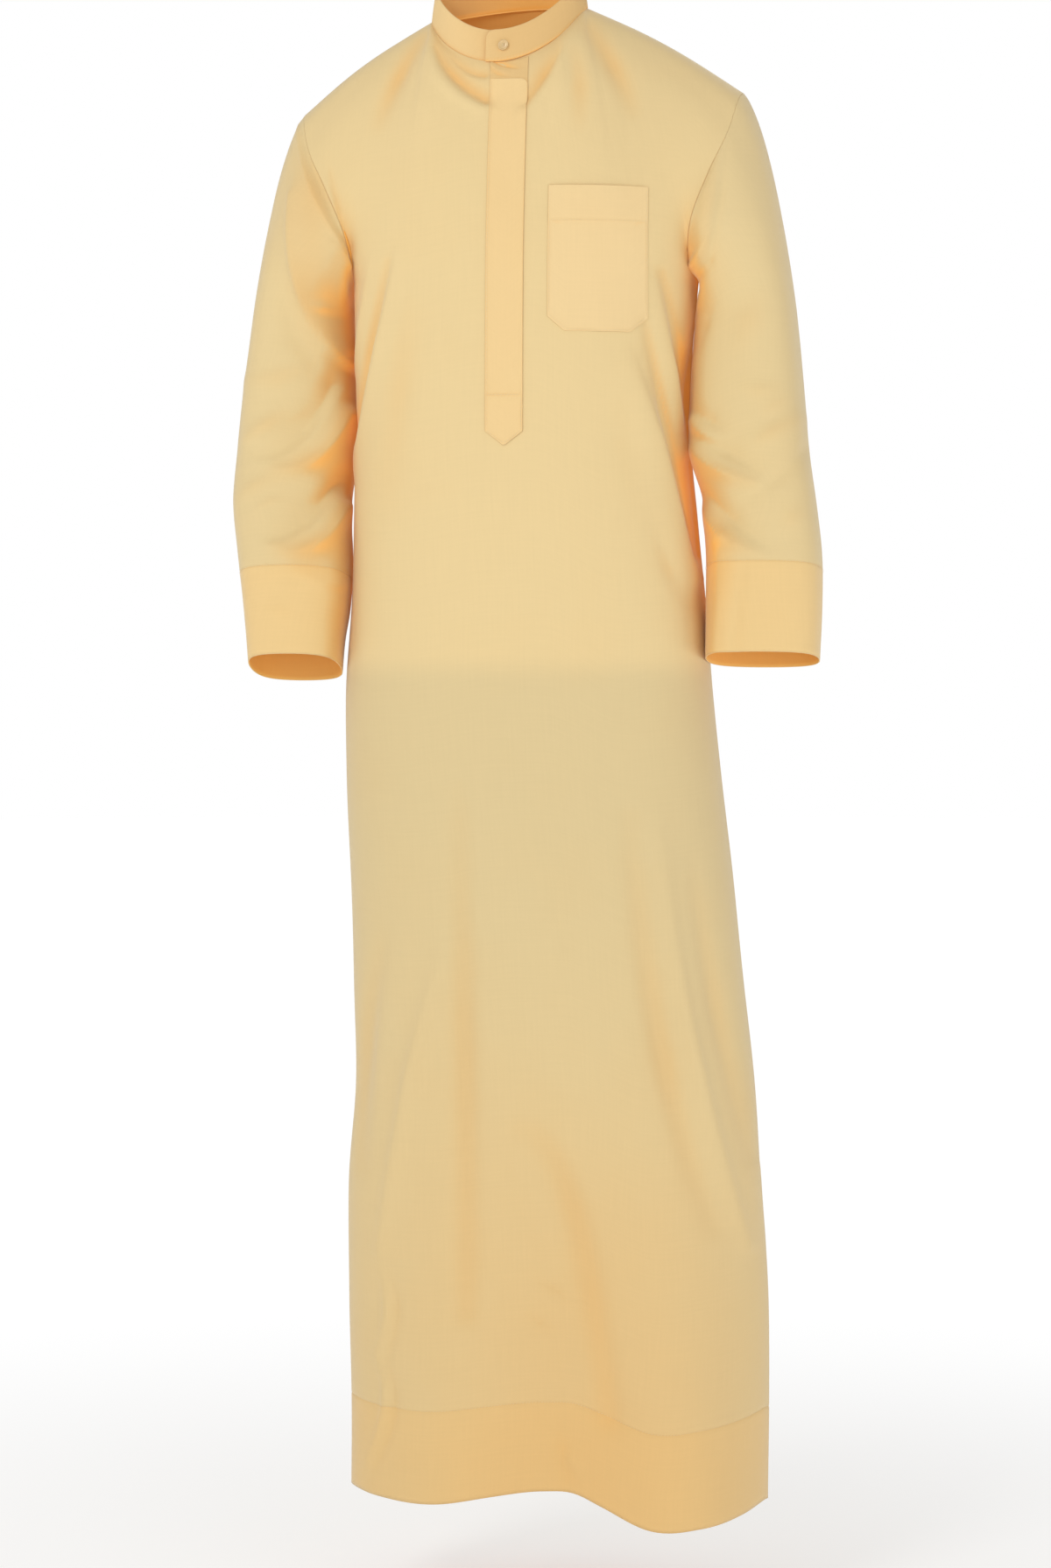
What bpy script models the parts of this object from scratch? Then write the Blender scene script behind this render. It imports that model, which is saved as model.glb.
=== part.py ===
"""A thobe as it is worn: front, back, two sleeves, stand collar, placket, pocket and button.

Metres, +Z up. The wearer faces -Y, with the left side at +X. The origin lies between the shoulders,
at the height where the collar meets the shoulder seams. Each cloth piece is an open sheet worked out
from the tables below, and a Solidify modifier gives it its wall.
"""

import math
from collections import namedtuple

import bmesh
import bpy
import numpy as np

# Cloth walls and the gaps between pieces
SINGLE_WALL = 0.0011
DOUBLE_WALL = 0.0018
COLLAR_WALL = 0.0018
SEAM_GAP = 0.0003
ARMHOLE_GAP = 0.0009
LAID_GAP = 0.0006

# Heights of the cut, and the depth of the turned-up hem and cuffs
UNDERARM = -0.262
HEM = -1.455
HEM_DEPTH = 0.090
CUFF_DEPTH = 0.088
STEP = 0.003

# Neckline and shoulders
NECK_SWAY = -0.010
NECK_FORE = -0.030
NECK_HALF_WIDTH = 0.0755
NECK_TILT = 0.0055
NECK_FRONT_DEPTH = 0.068
NECK_BACK_DEPTH = 0.055
NECK_FRONT_DROP = 0.052
NECK_BACK_RISE = 0.012
NECK_SHARE = 0.40
CORNER_EASE = 0.28
CORNER_GRIP = 4
NECK_REACH = {-1: 0.05, 1: 0.11}
NECK_RISE = 0.13
SHOULDER_REACH = 0.16
SHOULDER_RISE = 0.010
SHOULDER_OUT = 0.219
SHOULDER_FORE = 0.010
SHOULDER_CREST = 0.006
SHOULDER_DROP = {-1: 0.091, 1: 0.076}

# Stand collar: its left end laps over its right end in front
COLLAR_HEIGHT = 0.0315
COLLAR_LEAN = 0.004
COLLAR_LAP = 0.0175
COLLAR_LAP_DEPTH = 0.0034
COLLAR_GAP = 0.0011

# Placket strip, its plain top and the chest pocket, measured on the front
PLACKET_MIDDLE = -0.0005
PLACKET_WIDTH = 0.0365
PLACKET_TOP = -0.0725
PLACKET_POINT = -0.428
PLACKET_SHOULDER = -0.414
PLACKET_STITCH = -0.379
POCKET_LEFT = 0.041
POCKET_RIGHT = 0.134
POCKET_TOP = -0.178
POCKET_BAND = 0.035
POCKET_BOTTOM = -0.318
POCKET_CORNER = 0.018

# Collar button
BUTTON_RADIUS = 0.0050
BUTTON_THICKNESS = 0.0022
BUTTON_TURN = 0.029
BUTTON_HEIGHT = 0.0150
BUTTON_STEPS = 20
# The button's half section from its sunk middle over the rim to its back, in shares of its
# radius and its thickness
BUTTON_PROFILE = (
    (0.0, 0.45), (0.45, 0.45), (0.62, 0.80), (0.82, 1.0), (0.95, 0.85),
    (1.0, 0.5), (0.92, 0.1), (0.8, 0.0), (0.0, 0.0),
)

# Colours in linear light, and roughness
CLOTH_COLOUR = (0.84, 0.66, 0.36)
DOUBLED_COLOUR = (0.86, 0.64, 0.30)
BUTTON_COLOUR = (0.87, 0.72, 0.44)
CLOTH_ROUGHNESS = 0.85
BUTTON_ROUGHNESS = 0.35

FRONT = -1
BACK = 1
RIGHT = -1
LEFT = 1

# The body of the thobe from the underarm to the hem
Section = namedtuple("Section", "height sway half_width front back square")
BODY = (
    Section(-0.262, 0.0040, 0.1710, 0.138, 0.110, 2.3),
    Section(-0.340, 0.0035, 0.1690, 0.142, 0.110, 2.3),
    Section(-0.420, 0.0040, 0.1695, 0.143, 0.106, 2.3),
    Section(-0.500, 0.0050, 0.1735, 0.142, 0.103, 2.3),
    Section(-0.580, 0.0070, 0.1790, 0.139, 0.108, 2.3),
    Section(-0.665, 0.0080, 0.1840, 0.136, 0.117, 2.3),
    Section(-0.745, 0.0110, 0.1865, 0.134, 0.122, 2.25),
    Section(-0.850, 0.0190, 0.1910, 0.132, 0.121, 2.2),
    Section(-0.955, 0.0255, 0.1955, 0.130, 0.120, 2.15),
    Section(-1.060, 0.0315, 0.2005, 0.129, 0.121, 2.1),
    Section(-1.160, 0.0320, 0.2070, 0.129, 0.124, 2.1),
    Section(-1.265, 0.0355, 0.2110, 0.129, 0.128, 2.1),
    Section(-1.360, 0.0360, 0.2095, 0.130, 0.132, 2.1),
    Section(-1.455, 0.0340, 0.2075, 0.131, 0.136, 2.1),
)

# The armhole from the underarm, share 0, over the front to the shoulder's tip, share 1
Armhole = namedtuple("Armhole", "share out fore height")
ARMHOLE = (
    Armhole(0.00, 0.1750, 0.000, -0.262),
    Armhole(0.20, 0.1690, 0.050, -0.250),
    Armhole(0.40, 0.1730, 0.076, -0.214),
    Armhole(0.60, 0.1900, 0.073, -0.171),
    Armhole(0.80, 0.2090, 0.052, -0.128),
    Armhole(0.92, 0.2165, 0.024, -0.098),
    Armhole(0.97, 0.2185, 0.003, -0.0915),
    Armhole(1.00, 0.2190, -0.010, -0.091),
)
ARMHOLE_BACK_SHARE = 0.82

# Each sleeve below the armhole; out and fore place the middle of each ring
Ring = namedtuple("Ring", "height out fore half_width half_depth tilt")
SLEEVES = {
    RIGHT: (
        Ring(-0.300, 0.2235, 0.008, 0.0475, 0.072, 0.00),
        Ring(-0.370, 0.2275, 0.006, 0.0540, 0.069, 0.00),
        Ring(-0.430, 0.2290, 0.000, 0.0575, 0.066, 0.04),
        Ring(-0.483, 0.2310, -0.010, 0.0575, 0.063, 0.12),
        Ring(-0.530, 0.2280, -0.022, 0.0545, 0.059, 0.20),
        Ring(-0.580, 0.2250, -0.034, 0.0500, 0.054, 0.26),
        Ring(-0.642, 0.2210, -0.050, 0.0460, 0.047, 0.30),
    ),
    LEFT: (
        Ring(-0.300, 0.2240, 0.008, 0.0480, 0.072, 0.00),
        Ring(-0.370, 0.2285, 0.006, 0.0505, 0.069, 0.00),
        Ring(-0.430, 0.2320, 0.000, 0.0530, 0.066, 0.04),
        Ring(-0.483, 0.2385, -0.008, 0.0545, 0.063, 0.10),
        Ring(-0.530, 0.2440, -0.018, 0.0545, 0.059, 0.14),
        Ring(-0.580, 0.2455, -0.029, 0.0540, 0.054, 0.17),
        Ring(-0.634, 0.2450, -0.041, 0.0530, 0.049, 0.17),
    ),
}

# How each sleeve leaves its armhole: out and down under the arm and over it, and fore round it
UNDER_ARM_LEAVING = (0.030, 0.035)
OVER_ARM_LEAVING = (0.075, 0.105)
ROUND_ARM_LEAVING = 0.050

# Folds: a line from start over bend to end, as (out or x, height), with how far it stands out at
# each of the three, its width, and how much steeper its flank is on the line's right than its left
Fold = namedtuple("Fold", "start bend end width lean stands")
FRONT_FOLDS = (
    Fold((-0.100, -0.200), (-0.128, -0.370), (-0.150, -0.560), 0.016, 0.3, (0.001, 0.006, 0.002)),
    Fold((-0.130, -0.270), (-0.150, -0.390), (-0.163, -0.520), 0.014, 0.0, (-0.003, -0.007, -0.002)),
    Fold((0.142, -0.290), (0.152, -0.400), (0.174, -0.560), 0.015, -0.3, (0.000, 0.007, 0.003)),
    Fold((0.154, -0.270), (0.166, -0.350), (0.178, -0.440), 0.011, 0.0, (-0.002, -0.008, -0.002)),
    Fold((-0.045, -0.800), (-0.038, -1.020), (-0.040, -1.290), 0.020, 0.0, (-0.001, -0.009, -0.003)),
    Fold((-0.075, -0.980), (-0.098, -1.080), (-0.125, -1.190), 0.022, 0.0, (0.001, 0.007, 0.001)),
    Fold((-0.116, -0.930), (-0.134, -1.070), (-0.140, -1.200), 0.018, 0.0, (-0.001, -0.007, -0.002)),
    Fold((0.110, -0.720), (0.150, -0.990), (0.168, -1.250), 0.026, 0.0, (-0.001, -0.010, -0.002)),
    Fold((0.155, -0.820), (0.190, -1.050), (0.222, -1.200), 0.022, 0.0, (0.001, 0.009, 0.002)),
    Fold((-0.068, -1.180), (-0.068, -1.330), (-0.066, -1.500), 0.050, 0.0, (0.000, 0.004, 0.010)),
    Fold((0.020, -1.080), (0.030, -1.280), (0.034, -1.500), 0.050, 0.2, (0.000, -0.020, -0.060)),
    Fold((0.146, -0.980), (0.154, -1.250), (0.162, -1.500), 0.056, 0.0, (0.000, 0.036, 0.080)),
    Fold((-0.135, -1.230), (-0.118, -1.330), (-0.138, -1.440), 0.012, 0.0, (-0.001, -0.007, -0.006)),
)
BACK_FOLDS = (
    Fold((-0.120, -0.170), (-0.100, -0.300), (-0.118, -0.460), 0.020, 0.0, (0.001, 0.006, 0.001)),
    Fold((0.125, -0.180), (0.108, -0.320), (0.126, -0.500), 0.020, 0.0, (0.001, 0.007, 0.001)),
    Fold((-0.055, -0.420), (-0.064, -0.640), (-0.080, -0.860), 0.026, 0.0, (-0.001, -0.008, -0.001)),
    Fold((0.070, -0.400), (0.078, -0.600), (0.066, -0.820), 0.026, 0.0, (-0.001, -0.009, -0.001)),
    Fold((-0.115, -0.800), (-0.110, -1.120), (-0.104, -1.500), 0.032, 0.0, (0.000, 0.010, 0.016)),
    Fold((-0.030, -0.850), (-0.020, -1.150), (-0.016, -1.500), 0.030, 0.0, (0.000, -0.010, -0.018)),
    Fold((0.060, -0.820), (0.072, -1.150), (0.082, -1.500), 0.032, 0.0, (0.000, 0.012, 0.018)),
    Fold((0.140, -0.900), (0.156, -1.180), (0.168, -1.500), 0.028, 0.0, (0.000, -0.010, -0.015)),
)
SLEEVE_FRONT_FOLDS = {
    RIGHT: (
        Fold((0.226, -0.160), (0.222, -0.262), (0.176, -0.345), 0.013, 0.5, (0.002, 0.009, 0.008)),
        Fold((0.200, -0.190), (0.186, -0.270), (0.166, -0.325), 0.011, 0.0, (-0.003, -0.009, -0.006)),
        Fold((0.262, -0.398), (0.240, -0.404), (0.214, -0.398), 0.012, 0.0, (-0.001, -0.005, -0.001)),
        Fold((0.246, -0.452), (0.212, -0.444), (0.174, -0.410), 0.010, -0.3, (-0.003, -0.009, -0.008)),
        Fold((0.262, -0.484), (0.222, -0.502), (0.176, -0.500), 0.012, 0.0, (-0.002, -0.008, -0.005)),
        Fold((0.262, -0.442), (0.224, -0.472), (0.182, -0.462), 0.014, 0.0, (0.002, 0.006, 0.004)),
    ),
    LEFT: (
        Fold((0.200, -0.200), (0.186, -0.240), (0.172, -0.262), 0.010, 0.0, (-0.002, -0.007, -0.005)),
        Fold((0.204, -0.262), (0.190, -0.282), (0.178, -0.298), 0.009, 0.0, (-0.001, -0.006, -0.005)),
        Fold((0.246, -0.462), (0.216, -0.456), (0.180, -0.430), 0.009, -0.3, (-0.001, -0.008, -0.008)),
        Fold((0.252, -0.432), (0.222, -0.424), (0.190, -0.395), 0.014, 0.0, (0.001, 0.006, 0.005)),
        Fold((0.248, -0.530), (0.218, -0.518), (0.190, -0.484), 0.010, 0.0, (-0.001, -0.007, -0.006)),
    ),
}
SLEEVE_BACK_FOLDS = (
    Fold((0.262, -0.330), (0.226, -0.352), (0.184, -0.336), 0.013, 0.0, (-0.001, -0.006, -0.004)),
    Fold((0.270, -0.430), (0.232, -0.452), (0.188, -0.440), 0.012, 0.0, (-0.002, -0.008, -0.005)),
    Fold((0.266, -0.492), (0.232, -0.502), (0.190, -0.486), 0.011, 0.0, (-0.001, -0.006, -0.004)),
)

# Grid sizes: columns across a panel, rows below the underarm and above it
FRONT_GRID = (24, 26, 12)
BACK_GRID = (20, 20, 10)
SLEEVE_GRID = (20, 6, 17)
SIDE_SHARE = 0.985

# The small change of a surface's own coordinates that its slopes are taken over
NUDGE = 1e-4


def points(x, y, z):
    return np.stack(np.broadcast_arrays(x, y, z), axis=-1).astype(float)


def smooth_step(x):
    x = np.clip(x, 0, 1)
    return x * x * (3 - 2 * x)


def mix(a, b, share):
    return a + (b - a) * share


def hermite(start, leaving, end, arriving, t):
    """The cubic from start to end whose direction is given at both."""
    return (
        (2 * t**3 - 3 * t**2 + 1) * start
        + (t**3 - 2 * t**2 + t) * leaving
        + (3 * t**2 - 2 * t**3) * end
        + (t**3 - t**2) * arriving
    )


def curve_through(rows, key, field):
    """A smooth curve of one named column of a table against another, which runs one way."""
    order = sorted(rows, key=lambda row: getattr(row, key))
    knots = np.array([getattr(row, key) for row in order])
    values = np.array([getattr(row, field) for row in order])
    slopes = np.gradient(values, knots)

    def at(place):
        place = np.clip(place, knots[0], knots[-1])
        i = np.clip(np.searchsorted(knots, place) - 1, 0, len(knots) - 2)
        step = knots[i + 1] - knots[i]
        share = (place - knots[i]) / step
        return hermite(values[i], slopes[i] * step, values[i + 1], slopes[i + 1] * step, share)

    return at


def curves(rows, key):
    return {field: curve_through(rows, key, field) for field in rows[0]._fields if field != key}


BODY_CURVES = curves(BODY, "height")
ARMHOLE_CURVES = curves(ARMHOLE, "share")
SLEEVE_CURVES = {side: curves(rings, "height") for side, rings in SLEEVES.items()}


def fold_height(folds, x, height):
    """How far the folds lift the cloth at each point."""
    lift = np.zeros(np.broadcast(x, height).shape)
    place = np.stack(np.broadcast_arrays(x, height), axis=-1)
    share = np.linspace(0, 1, 17)
    for fold in folds:
        start, bend, end = (np.array(p) for p in (fold.start, fold.bend, fold.end))
        middle = 2 * bend - (start + end) / 2
        t = share[:, None]
        line = (1 - t) ** 2 * start + 2 * t * (1 - t) * middle + t**2 * end
        nearest = np.full(lift.shape, np.inf)
        stand = np.zeros(lift.shape)
        for i in range(len(line) - 1):
            run = line[i + 1] - line[i]
            off = place - line[i]
            along = np.clip(off @ run / (run @ run), 0, 1)
            miss = off - along[..., None] * run
            side = np.sign(off[..., 0] * run[1] - off[..., 1] * run[0])
            distance = np.hypot(miss[..., 0], miss[..., 1]) / (fold.width * (1 - fold.lean * side))
            here = (i + along) / (len(line) - 1)
            closer = distance < nearest
            nearest = np.where(closer, distance, nearest)
            stand = np.where(closer, np.interp(here, (0, 0.5, 1), fold.stands), stand)
        lift += stand * np.exp(-(nearest**2))
    return lift


def lifted(surface, amount, a, b):
    """The surface moved out along its normal by amount, with the normal taken from the surface itself."""
    along_a = surface(a + NUDGE, b) - surface(a - NUDGE, b)
    along_b = surface(a, b + NUDGE) - surface(a, b - NUDGE)
    normal = np.cross(along_a, along_b)
    normal /= np.linalg.norm(normal, axis=-1, keepdims=True) + 1e-12
    return surface(a, b) + normal * np.asarray(amount)[..., None]


# --- front and back -------------------------------------------------------------------------------


def tube(across, height, face):
    """The body at and below the underarm; across runs from -1 at the right side seam to 1 at the left."""
    angle = (across + 1) * math.pi / 2
    power = 2 / BODY_CURVES["square"](height)
    cosine = np.cos(angle)
    sine = np.sin(angle)
    depth = BODY_CURVES["front" if face == FRONT else "back"](height)
    return points(
        BODY_CURVES["sway"](height)
        - BODY_CURVES["half_width"](height) * np.sign(cosine) * np.abs(cosine) ** power,
        face * depth * np.sign(sine) * np.abs(sine) ** power,
        height,
    )


def shoulder_tip(side):
    return np.array((side * SHOULDER_OUT, SHOULDER_FORE, -SHOULDER_DROP[side]))


def neckline(turn, face):
    """The neck seam: turn is 0 in the middle and -1 or 1 where it meets the shoulder seam."""
    angle = turn * math.pi / 2
    depth = NECK_FRONT_DEPTH if face == FRONT else NECK_BACK_DEPTH
    rise = -NECK_FRONT_DROP if face == FRONT else NECK_BACK_RISE
    return points(
        NECK_SWAY + NECK_HALF_WIDTH * np.sin(angle),
        NECK_FORE + face * depth * np.cos(angle),
        rise * np.cos(angle) ** 1.5 + NECK_TILT * np.sin(angle),
    )


def top_seam(across, face):
    """The neckline in the middle and a shoulder seam on each side of it."""
    neck = neckline(np.clip(across / NECK_SHARE, -1, 1), face)
    share = np.clip((np.abs(across) - NECK_SHARE) / (1 - NECK_SHARE), 0, 1)[..., None]
    tip = np.where((across < 0)[..., None], shoulder_tip(RIGHT), shoulder_tip(LEFT))
    seam = mix(neck, tip, share)
    seam[..., 2] += SHOULDER_CREST * np.sin(math.pi * share[..., 0])
    return seam


def armhole(share, side, face):
    """The armhole seam from the underarm, share 0, to the shoulder's tip, share 1."""
    depth = ARMHOLE_CURVES["fore"](share) * (1 if face == FRONT else ARMHOLE_BACK_SHARE)
    seam = points(
        side * ARMHOLE_CURVES["out"](share),
        face * depth,
        ARMHOLE_CURVES["height"](share),
    )
    low = tube(np.array(float(side)), UNDERARM, face) - (side * ARMHOLE[0].out, 0, ARMHOLE[0].height)
    last = ARMHOLE[-1]
    high_fore = face * last.fore * (1 if face == FRONT else ARMHOLE_BACK_SHARE)
    high = shoulder_tip(side) - (side * last.out, high_fore, last.height)
    share = np.asarray(share, dtype=float)[..., None]
    return seam + low * (1 - share) + high * share


def eased_seam(across, face):
    """The top seam with the corner at the collar rounded off, as the cloth further down feels it."""
    reach = np.minimum(CORNER_EASE, (1 - np.abs(across)) / 2)
    eased = np.zeros((*across.shape, 3))
    for step, weight in zip(range(-3, 4), (1, 6, 15, 20, 15, 6, 1)):
        eased += top_seam(across + reach * step / 3, face) * weight / 64
    return eased


def top_arrival(across, face):
    """The direction in which the cloth reaches the top seam: over the shoulder, and up to the collar."""
    middle = np.cos(np.clip(across / NECK_SHARE, -1, 1) * math.pi / 2)[..., None] ** 2
    over = np.array((0, -face * SHOULDER_REACH, SHOULDER_RISE))
    up = np.array((0, -face * NECK_REACH[face], NECK_RISE))
    return mix(over, up, middle)


def plain_panel(across, up, face):
    """The front or back without folds; up is 0 at the hem, 1 at the underarm and 2 at the top seam."""
    across, up = np.broadcast_arrays(np.asarray(across, float), np.asarray(up, float))
    below = tube(across, mix(HEM, UNDERARM, np.clip(up, 0, 1)), face)
    t = np.clip(up - 1, 0, 1.01)[..., None]

    def rise(place):
        start = tube(place, np.full(place.shape, UNDERARM), face)
        slope = (start - tube(place, np.full(place.shape, UNDERARM - 0.01), face)) / 0.01
        end = eased_seam(place, face)
        leaving = slope * (end[..., 2:] - UNDERARM) * 0.95
        rising = hermite(start, leaving, end, top_arrival(place, face), t)
        return rising + (top_seam(place, face) - end) * t**CORNER_GRIP

    side = np.where(across < 0, -1.0, 1.0)
    seam = np.where(
        (side < 0)[..., None], armhole(t[..., 0], RIGHT, face), armhole(t[..., 0], LEFT, face)
    )
    above = rise(across) + (seam - rise(side)) * np.abs(across)[..., None] ** 3
    panel = np.where((up <= 1)[..., None], below, above)
    panel[..., 1] += face * SEAM_GAP / 2
    return panel


def front(across, up):
    return folded_panel(across, up, FRONT, FRONT_FOLDS)


def back(across, up):
    return folded_panel(across, up, BACK, BACK_FOLDS)


def folded_panel(across, up, face, folds):
    across, up = np.broadcast_arrays(np.asarray(across, float), np.asarray(up, float))
    place = plain_panel(across, up, face)
    calm = smooth_step((1 - np.abs(across)) / 0.12) * smooth_step((2 - up) / 0.25)
    lift = fold_height(folds, place[..., 0], place[..., 2]) * calm
    return lifted(lambda a, b: plain_panel(a, b, face), lift * -face, across, up)


# --- sleeves --------------------------------------------------------------------------------------


def ring(turn, height, side):
    """A ring of the sleeve; turn is 0 on the outside, a quarter in front and a half against the body."""
    place = SLEEVE_CURVES[side]
    angle = turn * 2 * math.pi
    out = place["half_width"](height) * np.cos(angle)
    fore = place["half_depth"](height) * np.sin(angle)
    tilt = place["tilt"](height)
    return points(
        side * (place["out"](height) + out),
        place["fore"](height) - fore * np.cos(tilt),
        height + fore * np.sin(tilt),
    )


def sleeve_head(turn, side):
    """The armhole seam by the sleeve's turn, moved off the body by the gap, and how the cloth leaves it."""
    front_half = turn <= 0.5
    share = np.abs(1 - 2 * turn)
    seam = np.where(front_half[..., None], armhole(share, side, FRONT), armhole(share, side, BACK))
    over = (np.cos(turn * 2 * math.pi) + 1) / 2
    under_arm, over_arm = (
        points(side * out, 0, -drop) for out, drop in (UNDER_ARM_LEAVING, OVER_ARM_LEAVING)
    )
    leaving = mix(under_arm, over_arm, over[..., None])
    leaving[..., 1] -= ROUND_ARM_LEAVING * np.sin(turn * 2 * math.pi)
    off = leaving / np.linalg.norm(leaving, axis=-1, keepdims=True)
    off = off + points(side * 0.9, 0, 0) * (1 - over[..., None])
    return seam + off * ARMHOLE_GAP, leaving


def plain_sleeve(turn, down, side):
    """The sleeve without folds; down is 0 at the armhole, 1 at the first ring and 2 at the cuff's edge."""
    turn, down = np.broadcast_arrays(np.asarray(turn, float), np.asarray(down, float))
    rings = SLEEVES[side]
    first, last = rings[0].height, rings[-1].height
    lower = ring(turn, mix(first, last, np.clip(down - 1, 0, 1)), side)
    head, leaving = sleeve_head(np.clip(turn % 1, 0, 1), side)
    end = ring(turn, np.full(turn.shape, first), side)
    slope = (ring(turn, np.full(turn.shape, first - 0.01), side) - end) / 0.01
    arriving = slope * np.maximum(np.linalg.norm(end - head, axis=-1, keepdims=True), 0.03)
    upper = hermite(head, leaving, end, arriving, np.clip(down, 0, 1)[..., None])
    return np.where((down >= 1)[..., None], lower, upper)


def sleeve(turn, down, side):
    turn, down = np.broadcast_arrays(np.asarray(turn, float), np.asarray(down, float))
    place = plain_sleeve(turn, down, side)
    facing = np.sin(turn * 2 * math.pi)
    out = side * place[..., 0]
    lift = fold_height(SLEEVE_FRONT_FOLDS[side], out, place[..., 2]) * smooth_step(facing / 0.5)
    lift += fold_height(SLEEVE_BACK_FOLDS, out, place[..., 2]) * smooth_step(-facing / 0.5)
    lift *= smooth_step(down / 0.35)
    around = plain_sleeve(turn + NUDGE, down, side) - plain_sleeve(turn - NUDGE, down, side)
    along = plain_sleeve(turn, down + NUDGE, side) - plain_sleeve(turn, down - NUDGE, side)
    normal = np.cross(around, along) * -side
    normal /= np.linalg.norm(normal, axis=-1, keepdims=True) + 1e-12
    return place + normal * lift[..., None]


# --- what lies on the front -----------------------------------------------------------------------


def front_at(x, height):
    """The front's point and outward normal at each x and height, found by following its slope."""
    x, height = np.broadcast_arrays(np.asarray(x, float), np.asarray(height, float))
    across = np.clip(x / BODY[0].half_width, -0.95, 0.95) * 0.6
    up = np.where(height < UNDERARM, (height - HEM) / (UNDERARM - HEM), 1 + (height - UNDERARM) / 0.21)
    for _ in range(12):
        here = front(across, up)
        by_across = (front(across + NUDGE, up) - here)[..., (0, 2)] / NUDGE
        by_up = (front(across, up + NUDGE) - here)[..., (0, 2)] / NUDGE
        miss_x = x - here[..., 0]
        miss_z = height - here[..., 2]
        size = by_across[..., 0] * by_up[..., 1] - by_up[..., 0] * by_across[..., 1]
        across = across + np.clip((miss_x * by_up[..., 1] - miss_z * by_up[..., 0]) / size, -0.2, 0.2)
        up = up + np.clip((miss_z * by_across[..., 0] - miss_x * by_across[..., 1]) / size, -0.2, 0.2)
    here = front(across, up)
    normal = np.cross(front(across + NUDGE, up) - here, front(across, up + NUDGE) - here)
    normal /= np.linalg.norm(normal, axis=-1, keepdims=True)
    return here, normal


def laid(x, height, out):
    here, normal = front_at(x, height)
    return here + normal * out


# --- meshes ---------------------------------------------------------------------------------------


def sheet(name, grid, closed=False, doubled=None, wall=SINGLE_WALL, offset=-1.0):
    """A grid of points as a sheet with a wall; doubled gives the rows or points that are two layers."""
    rows, columns = grid.shape[:2]
    mesh = bpy.data.meshes.new(name)
    build = bmesh.new()
    verts = [[build.verts.new(grid[r, c]) for c in range(columns)] for r in range(rows)]
    for r in range(rows - 1):
        for c in range(columns if closed else columns - 1):
            d = (c + 1) % columns
            build.faces.new((verts[r][c], verts[r][d], verts[r + 1][d], verts[r + 1][c]))
    build.to_mesh(mesh)
    build.free()
    mesh.shade_smooth()
    piece = bpy.data.objects.new(name, mesh)
    solid = piece.modifiers.new("Wall", "SOLIDIFY")
    solid.offset = offset
    solid.thickness = wall
    if doubled is not None:
        group = piece.vertex_groups.new(name="Doubled")
        group.add([int(i) for i in np.flatnonzero(doubled.ravel())], 1.0, "REPLACE")
        solid.vertex_group = group.name
        solid.thickness = DOUBLE_WALL
        solid.thickness_vertex_group = wall / DOUBLE_WALL
    return piece


def panel_grid(surface, grid, face):
    """A front or back panel, from side seam to side seam and from the hem to the top seam."""
    columns, low_rows, high_rows = grid
    shoulder = (columns - 2 * (columns // 4)) // 2
    neck_columns = columns - 2 * shoulder
    across = np.concatenate((
        (-1.0,),
        np.linspace(-SIDE_SHARE, -NECK_SHARE, shoulder),
        np.linspace(-NECK_SHARE, NECK_SHARE, neck_columns + 1)[1:-1],
        np.linspace(NECK_SHARE, SIDE_SHARE, shoulder),
        (1.0,),
    ))
    hem_top = HEM_DEPTH / (UNDERARM - HEM)
    step = STEP / (UNDERARM - HEM)
    up = np.concatenate((
        np.linspace(0, hem_top, 4),
        np.linspace(hem_top + step, 1, low_rows),
        1 + np.linspace(0, 1, high_rows + 1)[1:-1],
        (1.985, 2.0),
    ))
    if face == BACK:
        across = across[::-1]
    grid = surface(across[None, :], up[:, None])
    doubled = np.broadcast_to((up <= hem_top + 1e-9)[:, None], grid.shape[:2])
    return grid, doubled


def make_front():
    grid, doubled = panel_grid(front, FRONT_GRID, FRONT)
    return sheet("front", grid, doubled=doubled)


def make_back():
    grid, doubled = panel_grid(back, BACK_GRID, BACK)
    return sheet("back", grid, doubled=doubled)


def make_sleeve(name, side):
    around, head_rows, arm_rows = SLEEVE_GRID
    turn = np.linspace(0, 1, around + 1)[:-1]
    if side == LEFT:
        turn = turn[::-1]
    last, first = SLEEVES[side][-1].height, SLEEVES[side][0].height
    cuff_top = 2 - CUFF_DEPTH / (first - last)
    step = STEP / (first - last)
    down = np.concatenate((
        (0.0, 0.06),
        np.linspace(0, 1, head_rows + 1)[1:],
        np.linspace(1, cuff_top - step, arm_rows - 3)[1:],
        np.linspace(cuff_top, 2, 4),
    ))
    grid = sleeve(turn[None, :], down[:, None], side)
    doubled = np.broadcast_to((down >= cuff_top - 1e-9)[:, None], grid.shape[:2])
    return sheet(name, grid[:, ::-1], closed=True, doubled=doubled[:, ::-1])


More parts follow.
